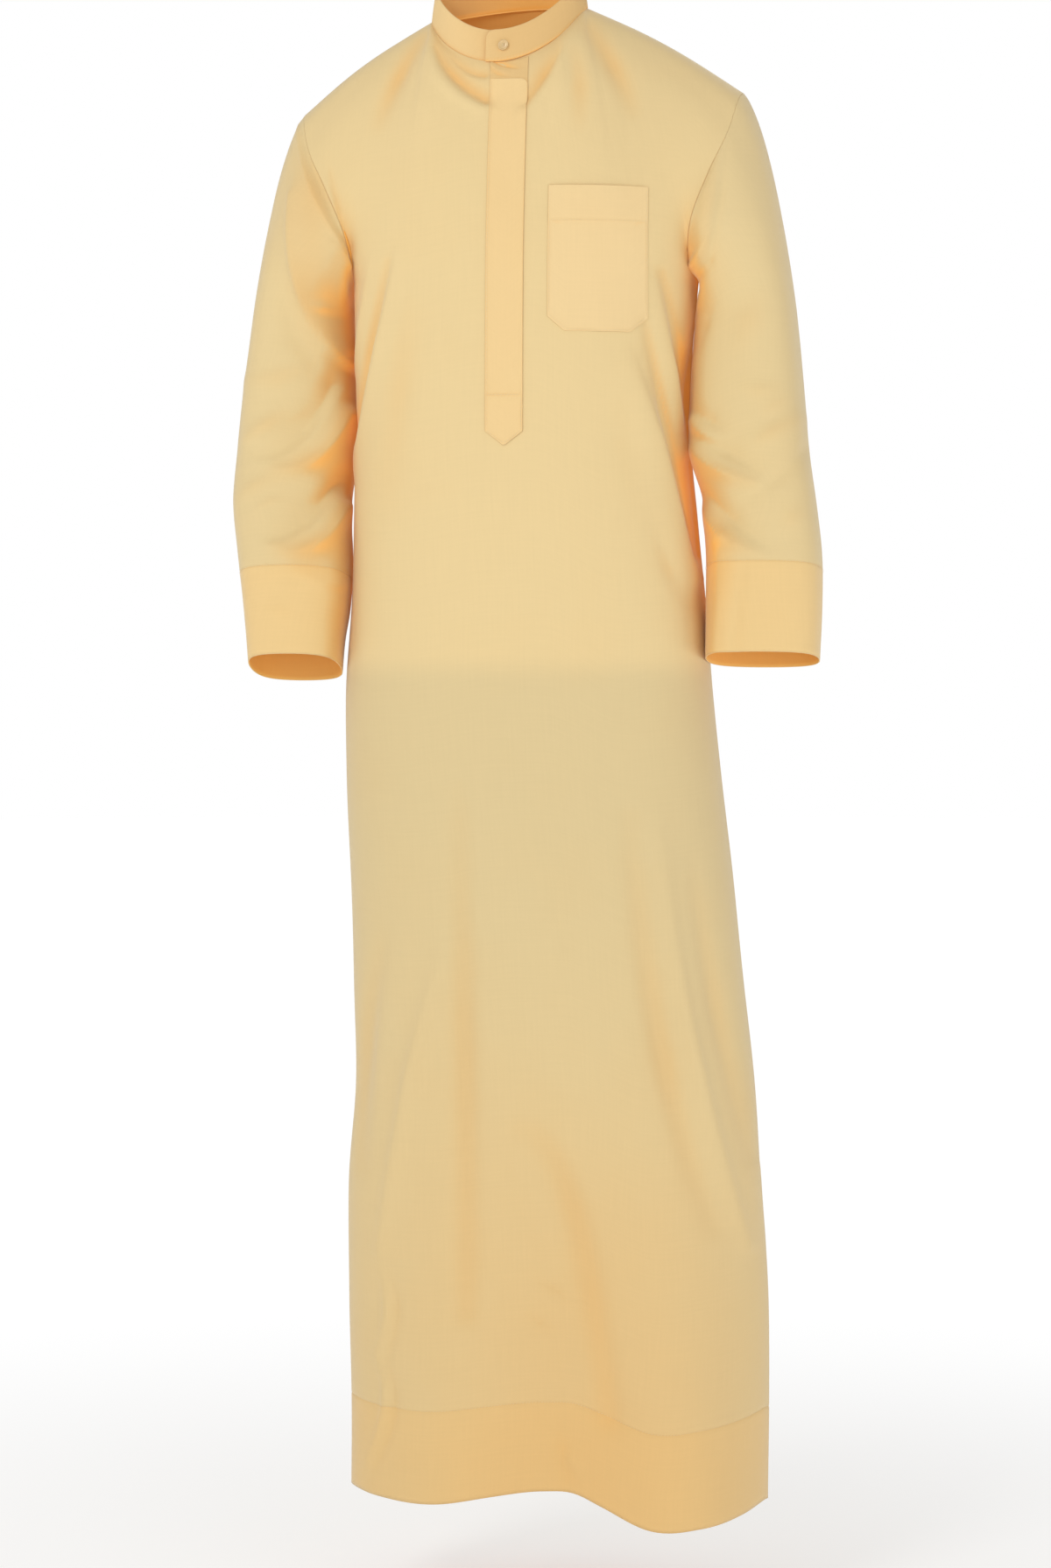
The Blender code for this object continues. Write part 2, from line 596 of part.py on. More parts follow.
def make_collar():
    """The stand: it follows the neck seam round from its right end to its left end, which laps over it."""
    lap = COLLAR_LAP / NECK_HALF_WIDTH / 2
    turn = np.linspace(-lap, 4 + lap, 61)
    base = np.empty((len(turn), 3))
    for i, place in enumerate(turn):
        # turn counts quarters round the neck: 0 and 4 in the front's middle, 2 in the back's
        quarter = place % 4
        if quarter <= 1:
            base[i] = neckline(np.array(quarter), FRONT)
        elif quarter <= 3:
            base[i] = neckline(np.array(2 - quarter), BACK)
        else:
            base[i] = neckline(np.array(quarter - 4), FRONT)
    middle = np.array((NECK_SWAY, NECK_FORE))
    outward = base[:, :2] - middle
    outward /= np.linalg.norm(outward, axis=-1, keepdims=True)
    over = 0.5 - smooth_step((turn - 2) / 2)
    rows = []
    for share in np.linspace(0, 1, 4):
        row = base.copy()
        reach = over * COLLAR_LAP_DEPTH - COLLAR_LEAN * share
        row[:, :2] += outward * reach[:, None]
        row[:, 2] += COLLAR_GAP + share * COLLAR_HEIGHT
        rows.append(row)
    grid = np.array(rows)
    return sheet("collar", grid, wall=COLLAR_WALL, offset=0.0)


def make_placket():
    half = PLACKET_WIDTH / 2
    heights = np.concatenate((
        (PLACKET_TOP, PLACKET_TOP - 0.004),
        np.linspace(PLACKET_TOP - 0.02, PLACKET_STITCH, 16),
        np.linspace(PLACKET_STITCH, PLACKET_SHOULDER, 3)[1:],
    ))
    share = np.linspace(-1, 1, 5)
    x = PLACKET_MIDDLE + half * share[None, :] + 0 * heights[:, None]
    z = heights[:, None] + 0 * share[None, :]
    x[0, -1] -= 0.004
    tip = PLACKET_SHOULDER - (PLACKET_SHOULDER - PLACKET_POINT) * (1 - np.abs(share))
    x = np.vstack((x, x[-1:]))
    z = np.vstack((z, tip[None, :] - 0.0005))
    grid = laid(x, z, LAID_GAP)
    return sheet("placket", grid[:, ::-1], wall=DOUBLE_WALL, offset=1.0)


def make_placket_top():
    half = PLACKET_WIDTH / 2
    share = np.linspace(-1, 1, 5)
    x = PLACKET_MIDDLE + half * share
    heights = np.linspace(-NECK_FRONT_DROP - 0.0022, PLACKET_TOP + SEAM_GAP, 3)
    grid = laid(x[None, :] + 0 * heights[:, None], heights[:, None] + 0 * x[None, :], LAID_GAP)
    return sheet("placket_top", grid[:, ::-1], wall=SINGLE_WALL, offset=1.0)


def make_pocket():
    columns = np.linspace(POCKET_LEFT, POCKET_RIGHT, 9)
    rows = np.concatenate((
        (POCKET_TOP, POCKET_TOP - POCKET_BAND, POCKET_TOP - POCKET_BAND - STEP),
        np.linspace(POCKET_TOP - POCKET_BAND - 0.02, POCKET_BOTTOM + POCKET_CORNER, 5),
        (POCKET_BOTTOM,),
    ))
    x = columns[None, :] + 0 * rows[:, None]
    z = rows[:, None] + 0 * columns[None, :]
    x[-1] = np.linspace(POCKET_LEFT + POCKET_CORNER, POCKET_RIGHT - POCKET_CORNER, 9)
    grid = laid(x, z, LAID_GAP)
    doubled = np.zeros(grid.shape[:2], bool)
    doubled[:2] = True
    return sheet("pocket", grid[:, ::-1], doubled=doubled[:, ::-1], offset=1.0)


def make_button():
    """A round button with a raised rim, its axis along the collar's outward direction."""
    seat = neckline(np.array(BUTTON_TURN), FRONT)
    mesh = bpy.data.meshes.new("collar_button")
    build = bmesh.new()
    ends = [build.verts.new((r * BUTTON_RADIUS, 0, h * BUTTON_THICKNESS)) for r, h in BUTTON_PROFILE]
    edges = [build.edges.new(pair) for pair in zip(ends, ends[1:])]
    bmesh.ops.spin(
        build,
        geom=ends + edges,
        axis=(0, 0, 1),
        cent=(0, 0, 0),
        angle=2 * math.pi,
        steps=BUTTON_STEPS,
        use_merge=True,
    )
    bmesh.ops.remove_doubles(build, verts=build.verts, dist=1e-6)
    bmesh.ops.recalc_face_normals(build, faces=build.faces)
    build.to_mesh(mesh)
    build.free()
    mesh.shade_smooth()
    piece = bpy.data.objects.new("collar_button", mesh)
    lean = math.atan2(COLLAR_LEAN, COLLAR_HEIGHT)
    share = BUTTON_HEIGHT / COLLAR_HEIGHT
    out = COLLAR_LAP_DEPTH / 2 + COLLAR_WALL / 2 + SEAM_GAP - COLLAR_LEAN * share
    piece.location = (seat[0], seat[1] - out, seat[2] + BUTTON_HEIGHT)
    piece.rotation_euler = (math.pi / 2 - lean, 0, 0)
    return piece


# --- materials and the whole ----------------------------------------------------------------------


def material(name, colour, roughness):
    made = bpy.data.materials.new(name)
    made.use_nodes = True
    shader = made.node_tree.nodes["Principled BSDF"]
    shader.inputs["Base Color"].default_value = (*colour, 1)
    shader.inputs["Roughness"].default_value = roughness
    shader.inputs["Metallic"].default_value = 0
    return made


def main():
    for old in list(bpy.data.objects):
        bpy.data.objects.remove(old, do_unlink=True)
    collection = bpy.data.collections.new("Thobe")
    bpy.context.scene.collection.children.link(collection)
    pieces = (
        (make_front(), CLOTH_COLOUR, CLOTH_ROUGHNESS),
        (make_back(), CLOTH_COLOUR, CLOTH_ROUGHNESS),
        (make_sleeve("sleeve_right", RIGHT), CLOTH_COLOUR, CLOTH_ROUGHNESS),
        (make_sleeve("sleeve_left", LEFT), CLOTH_COLOUR, CLOTH_ROUGHNESS),
        (make_collar(), DOUBLED_COLOUR, CLOTH_ROUGHNESS),
        (make_placket(), DOUBLED_COLOUR, CLOTH_ROUGHNESS),
        (make_placket_top(), DOUBLED_COLOUR, CLOTH_ROUGHNESS),
        (make_pocket(), DOUBLED_COLOUR, CLOTH_ROUGHNESS),
        (make_button(), BUTTON_COLOUR, BUTTON_ROUGHNESS),
    )
    for piece, colour, roughness in pieces:
        piece.data.materials.append(material(piece.name, colour, roughness))
        collection.objects.link(piece)


main()
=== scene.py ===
"""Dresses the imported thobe: cloth with its folds, sewing, button, materials, light and camera."""

import math
from collections import namedtuple

import bmesh
import bpy
import numpy as np
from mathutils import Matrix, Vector


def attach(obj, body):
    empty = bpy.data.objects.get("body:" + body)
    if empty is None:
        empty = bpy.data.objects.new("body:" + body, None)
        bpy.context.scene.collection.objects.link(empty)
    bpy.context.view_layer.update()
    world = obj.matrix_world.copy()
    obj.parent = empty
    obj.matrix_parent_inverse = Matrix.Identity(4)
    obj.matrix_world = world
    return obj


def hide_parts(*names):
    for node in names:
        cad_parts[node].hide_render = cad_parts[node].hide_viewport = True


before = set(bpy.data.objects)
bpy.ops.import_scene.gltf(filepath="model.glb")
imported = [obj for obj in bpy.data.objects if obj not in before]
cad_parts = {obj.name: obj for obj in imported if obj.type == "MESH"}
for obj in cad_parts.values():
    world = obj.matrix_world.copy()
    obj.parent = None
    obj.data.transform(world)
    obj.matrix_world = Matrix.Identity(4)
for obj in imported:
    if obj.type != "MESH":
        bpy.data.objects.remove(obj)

bl_info = {
    "name": "Thobe robe",
    "version": (1, 0, 0),
    "blender": (4, 5, 0),
    "location": "3D Viewport > Sidebar > Thobe",
    "description": "Sews and dresses a thobe robe over its packed frame",
    "category": "Object",
}

RIGHT, LEFT = -1, 1
FRONT, BACK = -1, 1
SIDE_NAMES = {RIGHT: "right", LEFT: "left"}

# The cut: heights and depths in metres, as the solids have them
UNDERARM = -0.262
HEM = -1.455
SEAM_GAP = 0.0003
ARMHOLE_GAP = 0.00015
NECK_SWAY = -0.010
NECK_FORE = -0.030
NECK_HALF_WIDTH = 0.0755
NECK_TILT = 0.0055
NECK_DEPTHS = {FRONT: 0.068, BACK: 0.055}
NECK_RISES = {FRONT: -0.0545, BACK: 0.012}
NECK_SHARE = 0.40
CORNER_EASE = 0.28
CORNER_GRIP = 4
NECK_REACH = {FRONT: 0.05, BACK: 0.11}
NECK_RISE = 0.13
SHOULDER_REACH = 0.16
SHOULDER_RISE = 0.010
SHOULDER_OUT = 0.219
SHOULDER_FORE = 0.010
SHOULDER_CREST = 0.006
SHOULDER_DROP = {RIGHT: 0.091, LEFT: 0.076}
COLLAR_HEIGHT = 0.0315
COLLAR_LEAN = 0.004
COLLAR_LAP = 0.0175
COLLAR_LAP_DEPTH = 0.0034
COLLAR_GAP = -0.0006
COLLAR_CORNER = 0.0085
COLLAR_STITCH = 0.0022
PLACKET_MIDDLE = -0.0005
PLACKET_WIDTH = 0.0365
PLACKET_LEFT = PLACKET_MIDDLE - PLACKET_WIDTH / 2
PLACKET_RIGHT = PLACKET_MIDDLE + PLACKET_WIDTH / 2
PLACKET_TOP = -0.0725
PLACKET_POINT = -0.428
PLACKET_SHOULDER = -0.414
PLACKET_STITCH = -0.379
PLACKET_CORNER = 0.0065
POCKET_LEFT = 0.041
POCKET_RIGHT = 0.134
POCKET_TOP = -0.178
POCKET_BAND = 0.035
POCKET_BOTTOM = -0.318
POCKET_CORNER = (0.0160, 0.0140)
BUTTON_TURN = 0.029
BUTTON_HEIGHT = 0.0150
BUTTON_HOLE_PLACE = 0.00085
BUTTON_HOLE_RADIUS = 0.00042

# How each sleeve leaves its armhole: out and down under the arm and over it, and fore round it
UNDER_ARM_LEAVING = (0.030, 0.035)
OVER_ARM_LEAVING = (0.075, 0.105)
ROUND_ARM_LEAVING = 0.050

# The body of the thobe from the underarm to the hem
Section = namedtuple("Section", "height sway half_width front back square")
BODY = (
    Section(-0.262, 0.0040, 0.1710, 0.138, 0.110, 2.3),
    Section(-0.340, 0.0012, 0.1667, 0.142, 0.110, 2.3),
    Section(-0.420, 0.0004, 0.1659, 0.143, 0.106, 2.3),
    Section(-0.500, 0.0035, 0.1710, 0.142, 0.103, 2.3),
    Section(-0.580, 0.0063, 0.1767, 0.139, 0.108, 2.3),
    Section(-0.665, 0.0065, 0.1825, 0.136, 0.117, 2.3),
    Section(-0.745, 0.0110, 0.1865, 0.134, 0.122, 2.25),
    Section(-0.850, 0.0190, 0.1910, 0.132, 0.121, 2.2),
    Section(-0.955, 0.0255, 0.1955, 0.130, 0.120, 2.15),
    Section(-1.060, 0.0315, 0.2005, 0.129, 0.121, 2.1),
    Section(-1.160, 0.0320, 0.2070, 0.129, 0.124, 2.1),
    Section(-1.265, 0.0355, 0.2110, 0.129, 0.128, 2.1),
    Section(-1.360, 0.0360, 0.2095, 0.130, 0.132, 2.1),
    Section(-1.455, 0.0340, 0.2075, 0.131, 0.136, 2.1),
)

# The armhole from the underarm, share 0, over the front to the shoulder's tip, share 1
Armhole = namedtuple("Armhole", "share out fore height")
ARMHOLE = (
    Armhole(0.00, 0.1750, 0.000, -0.262),
    Armhole(0.20, 0.1690, 0.050, -0.250),
    Armhole(0.40, 0.1730, 0.076, -0.214),
    Armhole(0.60, 0.1900, 0.073, -0.171),
    Armhole(0.80, 0.2090, 0.052, -0.128),
    Armhole(0.92, 0.2165, 0.024, -0.098),
    Armhole(0.97, 0.2185, 0.003, -0.0915),
    Armhole(1.00, 0.2190, -0.010, -0.091),
)
ARMHOLE_BACK_SHARE = 0.82

# Each sleeve below the armhole; out and fore place the middle of each ring
Ring = namedtuple("Ring", "height out fore half_width half_depth tilt")
SLEEVES = {
    RIGHT: (
        Ring(-0.300, 0.2215, 0.008, 0.0495, 0.072, 0.00),
        Ring(-0.370, 0.2256, 0.006, 0.0559, 0.069, 0.00),
        Ring(-0.430, 0.2278, 0.000, 0.0587, 0.066, 0.04),
        Ring(-0.483, 0.2310, -0.010, 0.0575, 0.063, 0.12),
        Ring(-0.530, 0.2259, -0.022, 0.0566, 0.059, 0.20),
        Ring(-0.580, 0.2225, -0.034, 0.0525, 0.054, 0.26),
        Ring(-0.610, 0.2222, -0.042, 0.0486, 0.050, 0.28),
        Ring(-0.642, 0.2210, -0.050, 0.0460, 0.047, 0.30),
    ),
    LEFT: (
        Ring(-0.300, 0.2220, 0.008, 0.0500, 0.072, 0.00),
        Ring(-0.370, 0.2233, 0.001, 0.0556, 0.069, 0.00),
        Ring(-0.430, 0.2263, -0.006, 0.0587, 0.066, 0.04),
        Ring(-0.483, 0.2375, -0.011, 0.0555, 0.063, 0.10),
        Ring(-0.530, 0.2418, -0.018, 0.0567, 0.059, 0.14),
        Ring(-0.580, 0.2425, -0.029, 0.0570, 0.054, 0.17),
        Ring(-0.634, 0.2420, -0.041, 0.0560, 0.049, 0.17),
    ),
}

# How much flatter the sleeves are in front, behind and at their sides than an ellipse
SLEEVE_FLATNESS = 0.05

# A fold is a line from start over bend to end, its width, how much steeper one flank is than the
# other (lean), how sharp its crest or its bottom is (2 is soft and round, 1 is a crease), and how
# far it stands out at each of the three points
Fold = namedtuple("Fold", "start bend end width lean sharp stands")


def folds_in_mm(*rows):
    """The folds of a table; a point is its x, or on a sleeve how far out it is, and its height."""
    made = []
    for x0, z0, x1, z1, x2, z2, width, lean, sharp, *stands in rows:
        line = [(x / 1000, z / 1000) for x, z in ((x0, z0), (x1, z1), (x2, z2))]
        made.append(Fold(*line, width / 1000, lean, sharp, [stand / 1000 for stand in stands]))
    return tuple(made)


FRONT_FOLDS = folds_in_mm(
    # where the arms press the sides of the chest
    (-110, -236, -131, -329, -166, -445, 6, 0.5, 1.8, 1, 4.5, 2),
    (-119, -248, -141, -332, -163, -414, 6, 0, 1.8, -1.5, -6, -3),
    (-140, -246, -151, -305, -165, -352, 5, 0, 1.8, 1, 3.5, 1),
    (-93, -274, -106, -376, -122, -503, 14, 0, 2, 0, -1.6, 0),
    (112, -332, 140, -417, 173, -554, 12, -0.6, 1.8, 0.5, 8.5, 4),
    (129, -294, 148, -390, 176, -530, 5.5, 0.2, 1.5, -0.5, -7.5, -4),
    (142, -271, 155, -352, 166, -428, 6.5, -0.5, 1.7, 1, 6, 2.5),
    (147, -260, 162, -339, 166, -414, 4.5, 0, 1.5, -3, -6.5, -3),
    (141, -499, 155, -547, 175, -585, 8, 0, 2, -0.5, -3.5, -1),
    (107, -352, 118, -421, 135, -503, 12, 0, 2, 0, -1.6, 0),
    # by the armholes and under the collar
    (-182, -156, -174, -191, -162, -230, 3.5, 0, 1.4, -1, -3.6, -2),
    (-190, -150, -180, -181, -165, -218, 3, 0, 1.8, 0, 1.6, 0.5),
    (-76, -36, -56, -69, -23, -94, 6, 0.5, 1.4, -3, -6.5, -6),
    (-82, -45, -61, -78, -25, -102, 6, 0, 1.8, 1, 2.6, 2),
    (-59, -48, -42, -63, -24, -69, 3.2, 0.4, 1.4, -1, -3.2, -4.2),
    (46, -44, 34, -69, 16, -97, 6, -0.5, 1.4, -2.5, -6, -4),
    (48, -49, 50, -77, 42, -125, 6, 0, 1.8, 1, 3, 0),
    (61, -46, 68, -82, 68, -134, 9, 0, 2, -1, -3, 0),
    (-92, -24, -114, -65, -131, -110, 9, 0, 1.9, -2, -5, -1),
    (-72, -53, -88, -96, -95, -139, 12, 0, 2, 0, 1.5, 0),
    (73, -18, 98, -58, 118, -102, 9, 0, 1.9, -2, -4.4, -1),
    # down the skirt
    (-46, -759, -42, -998, -40, -1271, 12, 0, 1.9, -1.5, -8, -5),
    (-58, -899, -97, -1039, -131, -1218, 9, 0, 1.7, 0.8, 8, 3),
    (-125, -899, -149, -1015, -154, -1134, 11, 0, 2, -1, -6.5, -2),
    (145, -783, 177, -1011, 227, -1209, 8, 0, 1.7, 1.5, 8, 3),
    (117, -783, 150, -1018, 196, -1188, 11, 0, 2, -1.5, -8, -2),
    (176, -824, 199, -974, 230, -1124, 9, 0, 2, -1, -6, -2),
    (18, -1090, 65, -1164, 100, -1369, 13, 0, 2, -2, -7, -5),
    (22, -1237, 45, -1246, 65, -1260, 4, 0, 1.6, 0, -2.8, 0),
    (17, -1267, 33, -1280, 50, -1292, 4, 0, 1.6, 0, -2.4, 0),
    (-136, -1228, -123, -1271, -136, -1320, 5, 0, 1.5, 0, 4.2, 1),
    (-136, -1323, -125, -1369, -149, -1431, 5, 0, 1.5, 1, 4.2, 1),
    (-124, -1232, -113, -1274, -124, -1323, 5, 0, 1.7, 0, -3.2, -1),
    (-124, -1330, -115, -1372, -136, -1431, 5, 0, 1.7, -1, -3.2, -1),
    (56, -1404, 61, -1415, 68, -1426, 4.5, 0.3, 1.4, 0, 3.6, 1),
    (47, -1378, 53, -1404, 58, -1431, 7, 0, 1.7, 0, -3, -2),
    # the broad folds at the hem
    (-68, -1180, -68, -1330, -66, -1500, 50, 0, 2, 0, 4, 10),
    (20, -1080, 30, -1280, 34, -1500, 55, 0, 2, 0, -9, -24),
    (146, -980, 154, -1250, 162, -1500, 58, 0, 2, 0, 20, 45),
)
BACK_FOLDS = folds_in_mm(
    (-120, -170, -100, -300, -118, -460, 20, 0, 2, 1, 6, 1),
    (125, -180, 108, -320, 126, -500, 20, 0, 2, 1, 7, 1),
    (-55, -420, -64, -640, -80, -860, 26, 0, 2, -1, -8, -1),
    (70, -400, 78, -600, 66, -820, 26, 0, 2, -1, -9, -1),
    (-115, -800, -110, -1120, -104, -1500, 32, 0, 2, 0, 10, 16),
    (-30, -850, -20, -1150, -16, -1500, 30, 0, 2, 0, -10, -18),
    (60, -820, 72, -1150, 82, -1500, 32, 0, 2, 0, 12, 18),
    (140, -900, 156, -1180, 168, -1500, 28, 0, 2, 0, -10, -15),
    # creases by the armholes and across the small of the back
    (-168, -150, -158, -205, -142, -262, 6, 0.3, 1.4, -1, -4, -1),
    (168, -150, 158, -200, 142, -258, 6, -0.3, 1.4, -1, -4, -1),
    (-150, -300, -136, -420, -144, -560, 11, 0.2, 1.7, -1, -4, 0),
    (152, -300, 140, -430, 148, -570, 11, -0.2, 1.7, -1, -4, 0),
    (-60, -55, -70, -100, -90, -150, 9, 0.3, 1.7, 0, -2.2, 0),
    (56, -50, 68, -98, 90, -150, 9, -0.3, 1.7, 0, -2.4, 0),
    (-96, -520, -20, -548, 62, -530, 12, 0, 1.8, 0, 3, 0),
    (-60, -590, 24, -612, 100, -586, 11, 0, 1.8, 0, -2.6, 0),
    (-150, -720, -156, -900, -150, -1100, 12, 0, 1.8, 0, -4, 0),
    (20, -900, 28, -1080, 30, -1300, 15, 0.2, 1.9, 0, 4, 1),
    (112, -780, 120, -980, 124, -1200, 12, 0, 1.9, 0, -3.5, 0),
    (-70, -1120, -64, -1260, -58, -1440, 10, 0.3, 1.6, 0, -4, -2),
)

# Painted shade by armpit and elbow on a sleeve's front: out, height, how wide, how tall, how strong
PAINTED_SHADE_SPOTS = {
    RIGHT: (
        (0.196, -0.180, 0.026, 0.050, 0.26), (0.198, -0.275, 0.020, 0.050, 0.27),
        (0.200, -0.440, 0.022, 0.013, 0.24), (0.198, -0.530, 0.024, 0.017, 0.36),
    ),
    LEFT: ((0.186, -0.255, 0.016, 0.030, 0.14), (0.196, -0.525, 0.020, 0.050, 0.34)),
}
SLEEVE_FRONT_FOLDS = {
    RIGHT: folds_in_mm(
        # from the armhole round the hollow that the hanging arm leaves
        (223, -102, 200, -172, 165, -234, 3.2, 0, 1.3, -1, -4.2, -2.5),
        (209, -122, 190, -172, 167, -219, 3, 0, 1.8, 0, 2, 0.6),
        (223, -177, 213, -274, 171, -342, 7, -0.6, 1.4, -2.5, -6.5, -5),
        (239, -190, 231, -274, 202, -342, 10, 0, 2, 1, 3, 2.5),
        (188, -237, 184, -278, 182, -312, 10, 0, 2, 0.5, 1.8, 1),
        (181, -224, 171, -232, 165, -246, 3.5, 0.3, 1.4, -1, -3.5, -3),
        (168, -244, 173, -277, 172, -328, 4, 0, 1.7, -2, -4, -2),
        (206, -280, 193, -287, 181, -288, 5, 0, 1.8, 0, -1.8, -0.5),
        (280, -358, 237, -356, 206, -342, 9, 0, 2, -0.5, -3, -1),
        (252, -321, 224, -317, 205, -326, 9, 0, 2, 0, 2, 1),
        # the elbow
        (270, -417, 246, -402, 216, -388, 8, 0, 1.9, -1.5, -4.5, -1.5),
        (252, -432, 213, -413, 181, -364, 11, -0.7, 1.6, 2, 7, 7),
        (236, -446, 198, -436, 172, -390, 8, 0.2, 1.5, -3, -7.5, -7),
        (214, -482, 187, -476, 172, -453, 9, 0, 1.9, 1, 3, 2),
        (278, -475, 259, -463, 240, -457, 7, 0, 1.8, -0.5, -2.8, -1),
        (263, -495, 242, -479, 213, -482, 4.5, 0, 1.8, 0, -1.8, 0),
        (250, -512, 237, -521, 222, -518, 3.6, 0.3, 1.4, 0, -3, -0.5),
        (241, -513, 207, -499, 178, -463, 11, -0.7, 1.6, 1, 7, 6),
        (229, -527, 194, -519, 174, -482, 8, 0.2, 1.5, -3, -7, -6),
        (221, -541, 204, -552, 176, -562, 6, -0.4, 1.6, -0.5, -2, -1),
        (251, -580, 233, -586, 216, -588, 6, 0, 2, 0, -1.2, 0),
    ),
    LEFT: folds_in_mm(
        # by the armhole
        (207, -121, 204, -186, 192, -249, 5, -0.3, 1.9, 0.5, 2.6, 1.5),
        (198, -144, 190, -195, 185, -237, 8, 0, 1.9, -1, -4, -2),
        (191, -221, 181, -240, 170, -251, 4, 0.2, 1.5, -1, -4, -3),
        (190, -249, 179, -261, 177, -271, 5, 0, 1.8, 1, 3, 2),
        (187, -267, 179, -285, 173, -299, 5, 0.2, 1.5, -0.5, -1, -0.4),
        (192, -290, 184, -311, 176, -332, 6, 0, 1.8, 0.5, 2.5, 1),
        (244, -264, 232, -305, 213, -344, 12, 0, 2, 0, -2.4, 0),
        (218, -365, 241, -372, 268, -365, 7, 0, 1.9, 0, -1.8, 0),
        # the elbow
        (173, -390, 190, -403, 210, -413, 8, 0.7, 1.6, 1.5, 4.5, 0.5),
        (171, -400, 186, -413, 205, -420, 5, -0.4, 1.4, -2, -4.5, -0.5),
        (176, -417, 210, -434, 244, -453, 10, 0.7, 1.5, 2, 7.5, 1),
        (172, -429, 204, -449, 240, -464, 7, -0.5, 1.4, -2, -7, -2),
        (226, -471, 236, -475, 252, -472, 8, 0, 1.9, 0.5, 1.5, 0.5),
        (224, -474, 258, -458, 284, -427, 6, 0, 1.8, 0.5, 3.2, 2),
        (226, -429, 253, -413, 279, -398, 8, 0, 1.9, -0.5, -3.4, -1),
        (239, -395, 255, -387, 271, -377, 7, 0, 1.9, 0, -2, 0),
        (187, -470, 212, -499, 245, -521, 10, 0.7, 1.5, 2, 7.5, 1),
        (182, -484, 206, -512, 240, -530, 7, -0.5, 1.4, -2, -7.5, -2),
        (259, -507, 273, -496, 288, -490, 8, 0, 1.9, 0, -2, 0),
        (202, -521, 204, -571, 200, -623, 10, 0.2, 1.8, -4.5, -4.5, -2.5),
        (223, -537, 220, -580, 217, -623, 6, 0, 1.8, 0.8, 2, 1.2),
    ),
}
SLEEVE_BACK_FOLDS = folds_in_mm(
    (262, -330, 226, -352, 184, -336, 13, 0, 2, -1, -6, -4),
    (270, -430, 232, -452, 188, -440, 12, 0, 2, -2, -8, -5),
    (266, -492, 232, -502, 190, -486, 11, 0, 2, -1, -6, -4),
    (268, -384, 240, -398, 206, -392, 9, 0.2, 1.6, 0, 3.6, 1),
    (262, -462, 236, -476, 200, -468, 8, 0.2, 1.6, 0, 3.6, 1),
    (236, -140, 226, -210, 200, -280, 9, 0.3, 1.6, -1, -4.6, -2),
    (262, -530, 240, -548, 210, -552, 7, 0.3, 1.5, 0, -3.4, -1),
)

PANEL_FOLDS = {FRONT: FRONT_FOLDS, BACK: BACK_FOLDS}
RIPPLE_SEEDS = {FRONT: 3, BACK: 8}

# Grid rows and columns are about grid_step apart over these lengths of cloth, finer on a sleeve
PANEL_GIRTH = 0.57
PANEL_RISE = 0.27
SLEEVE_GIRTH = 0.40
SLEEVE_HEAD = 0.20
SLEEVE_FINENESS = 0.78

# Shares that lie close beside every seam, and rows that lie close beside a drawn-in seam line
SEAM_SHARES = (0.0, 0.0035, 0.0085, 0.016)
GROOVE_ROWS = np.array((-0.0012, -0.0006, 0.0, 0.0006, 0.0012))
GROOVE_WIDTH = 0.0008

# How an edge turns in at a seam, strip by strip: how far aside and how deep
TURN_IN = ((0.00006, 0.0004), (0.00012, 0.0022))
# painted shade inside the turned-in edges
TURNED_IN_PAINTED_SHADE = 0.9

# The height over which the slope of a ring is taken, and how hard the upper panel follows it
SLOPE_STEP = 0.01
PANEL_LEAVING = 0.95
SIDE_GRIP = 3

# How warm the cloth's tone is low down, and its painted shade in a fold, beside the arms and below
# the collar
HOLLOW_PAINTED_SHADE = {FRONT: 0.60, BACK: 0.20}
SKIRT_HOLLOW_PAINTED_SHADE = 0.16
BESIDE_ARM_PAINTED_SHADE = 0.90
BELOW_COLLAR_PAINTED_SHADE = 0.20
LOW_WARMTH = 0.11
LOW_MIDDLE_WARMTH = 0.26
SLEEVE_HOLLOW_PAINTED_SHADE = 0.25
SLEEVE_FACING_PAINTED_SHADE = 0.75
# painted shade that darkens a sleeve above its cuff
SLEEVE_PAINTED_SHADE = 0.45

# Where a panel's painted shade and tone change, as the start and the span of a fade across it or up
# it
ARM_ACROSS = (0.72, 0.26)
ARM_BOTTOM = (-0.64, 0.08)
ARM_TOP = (-0.16, -0.14)
COLLAR_ACROSS = (0.42, -0.10)
# HIP, THIGH and THIGH_LOSS place the painted shade below the hip, where no undershirt backs the
# cloth
HIP = (-0.626, -0.032)
SKIRT = (-0.52, -0.15)
THIGH = (-0.74, -0.40)
SHIN = (-0.85, -0.60)
LOW_MIDDLE = 0.12
LOW_WIDTH = 0.45
COLLAR_SHADE_DEPTH = 0.13
THIGH_LOSS = 0.5

# Painted bounce light: which way a sleeve faces where it is painted warmer, as from light bounced
# off the cloth or the floor below it, and the fade towards that
SLEEVE_FACING = (-0.75, 0, -0.66)
SLEEVE_FACING_START = 0.38
SLEEVE_FACING_SPAN = 0.55

# How much each stitch slants across its seam, and how far its row lies from a laid piece's edge
STITCH_SLANT = 0.10
STITCH_INSET = 0.0016

# Laid pieces: how far they lie off the front, the share of their rise that they keep at the rim
# and lose beside it, and how wide the painted shade beside an edge or a row of stitches is
LAID_GAP = 0.00046
LAID_RIM_WIDTH = 0.00006
LAID_RIM_RISE = 0.25
LAID_EDGE_LOSS = 0.35
LAID_EDGE_WIDTH = 0.00045
LAID_SHADE_WIDTH = 0.0012

# How the point of the front at an x and a height is searched for
SEARCH_ROUNDS = 12
SEARCH_STRIDE = 0.2

# The small change of a surface's own coordinates that its slopes are taken over
NUDGE = 1e-4

# How close to its seams the cloth lies flat, as a share of its own coordinates
SEAM_CALM = 0.035

# Folds wider than this get no painted shade, and hollows deeper than this get it fully
BROAD_FOLD = 0.03
DEEP_FOLD = 0.007

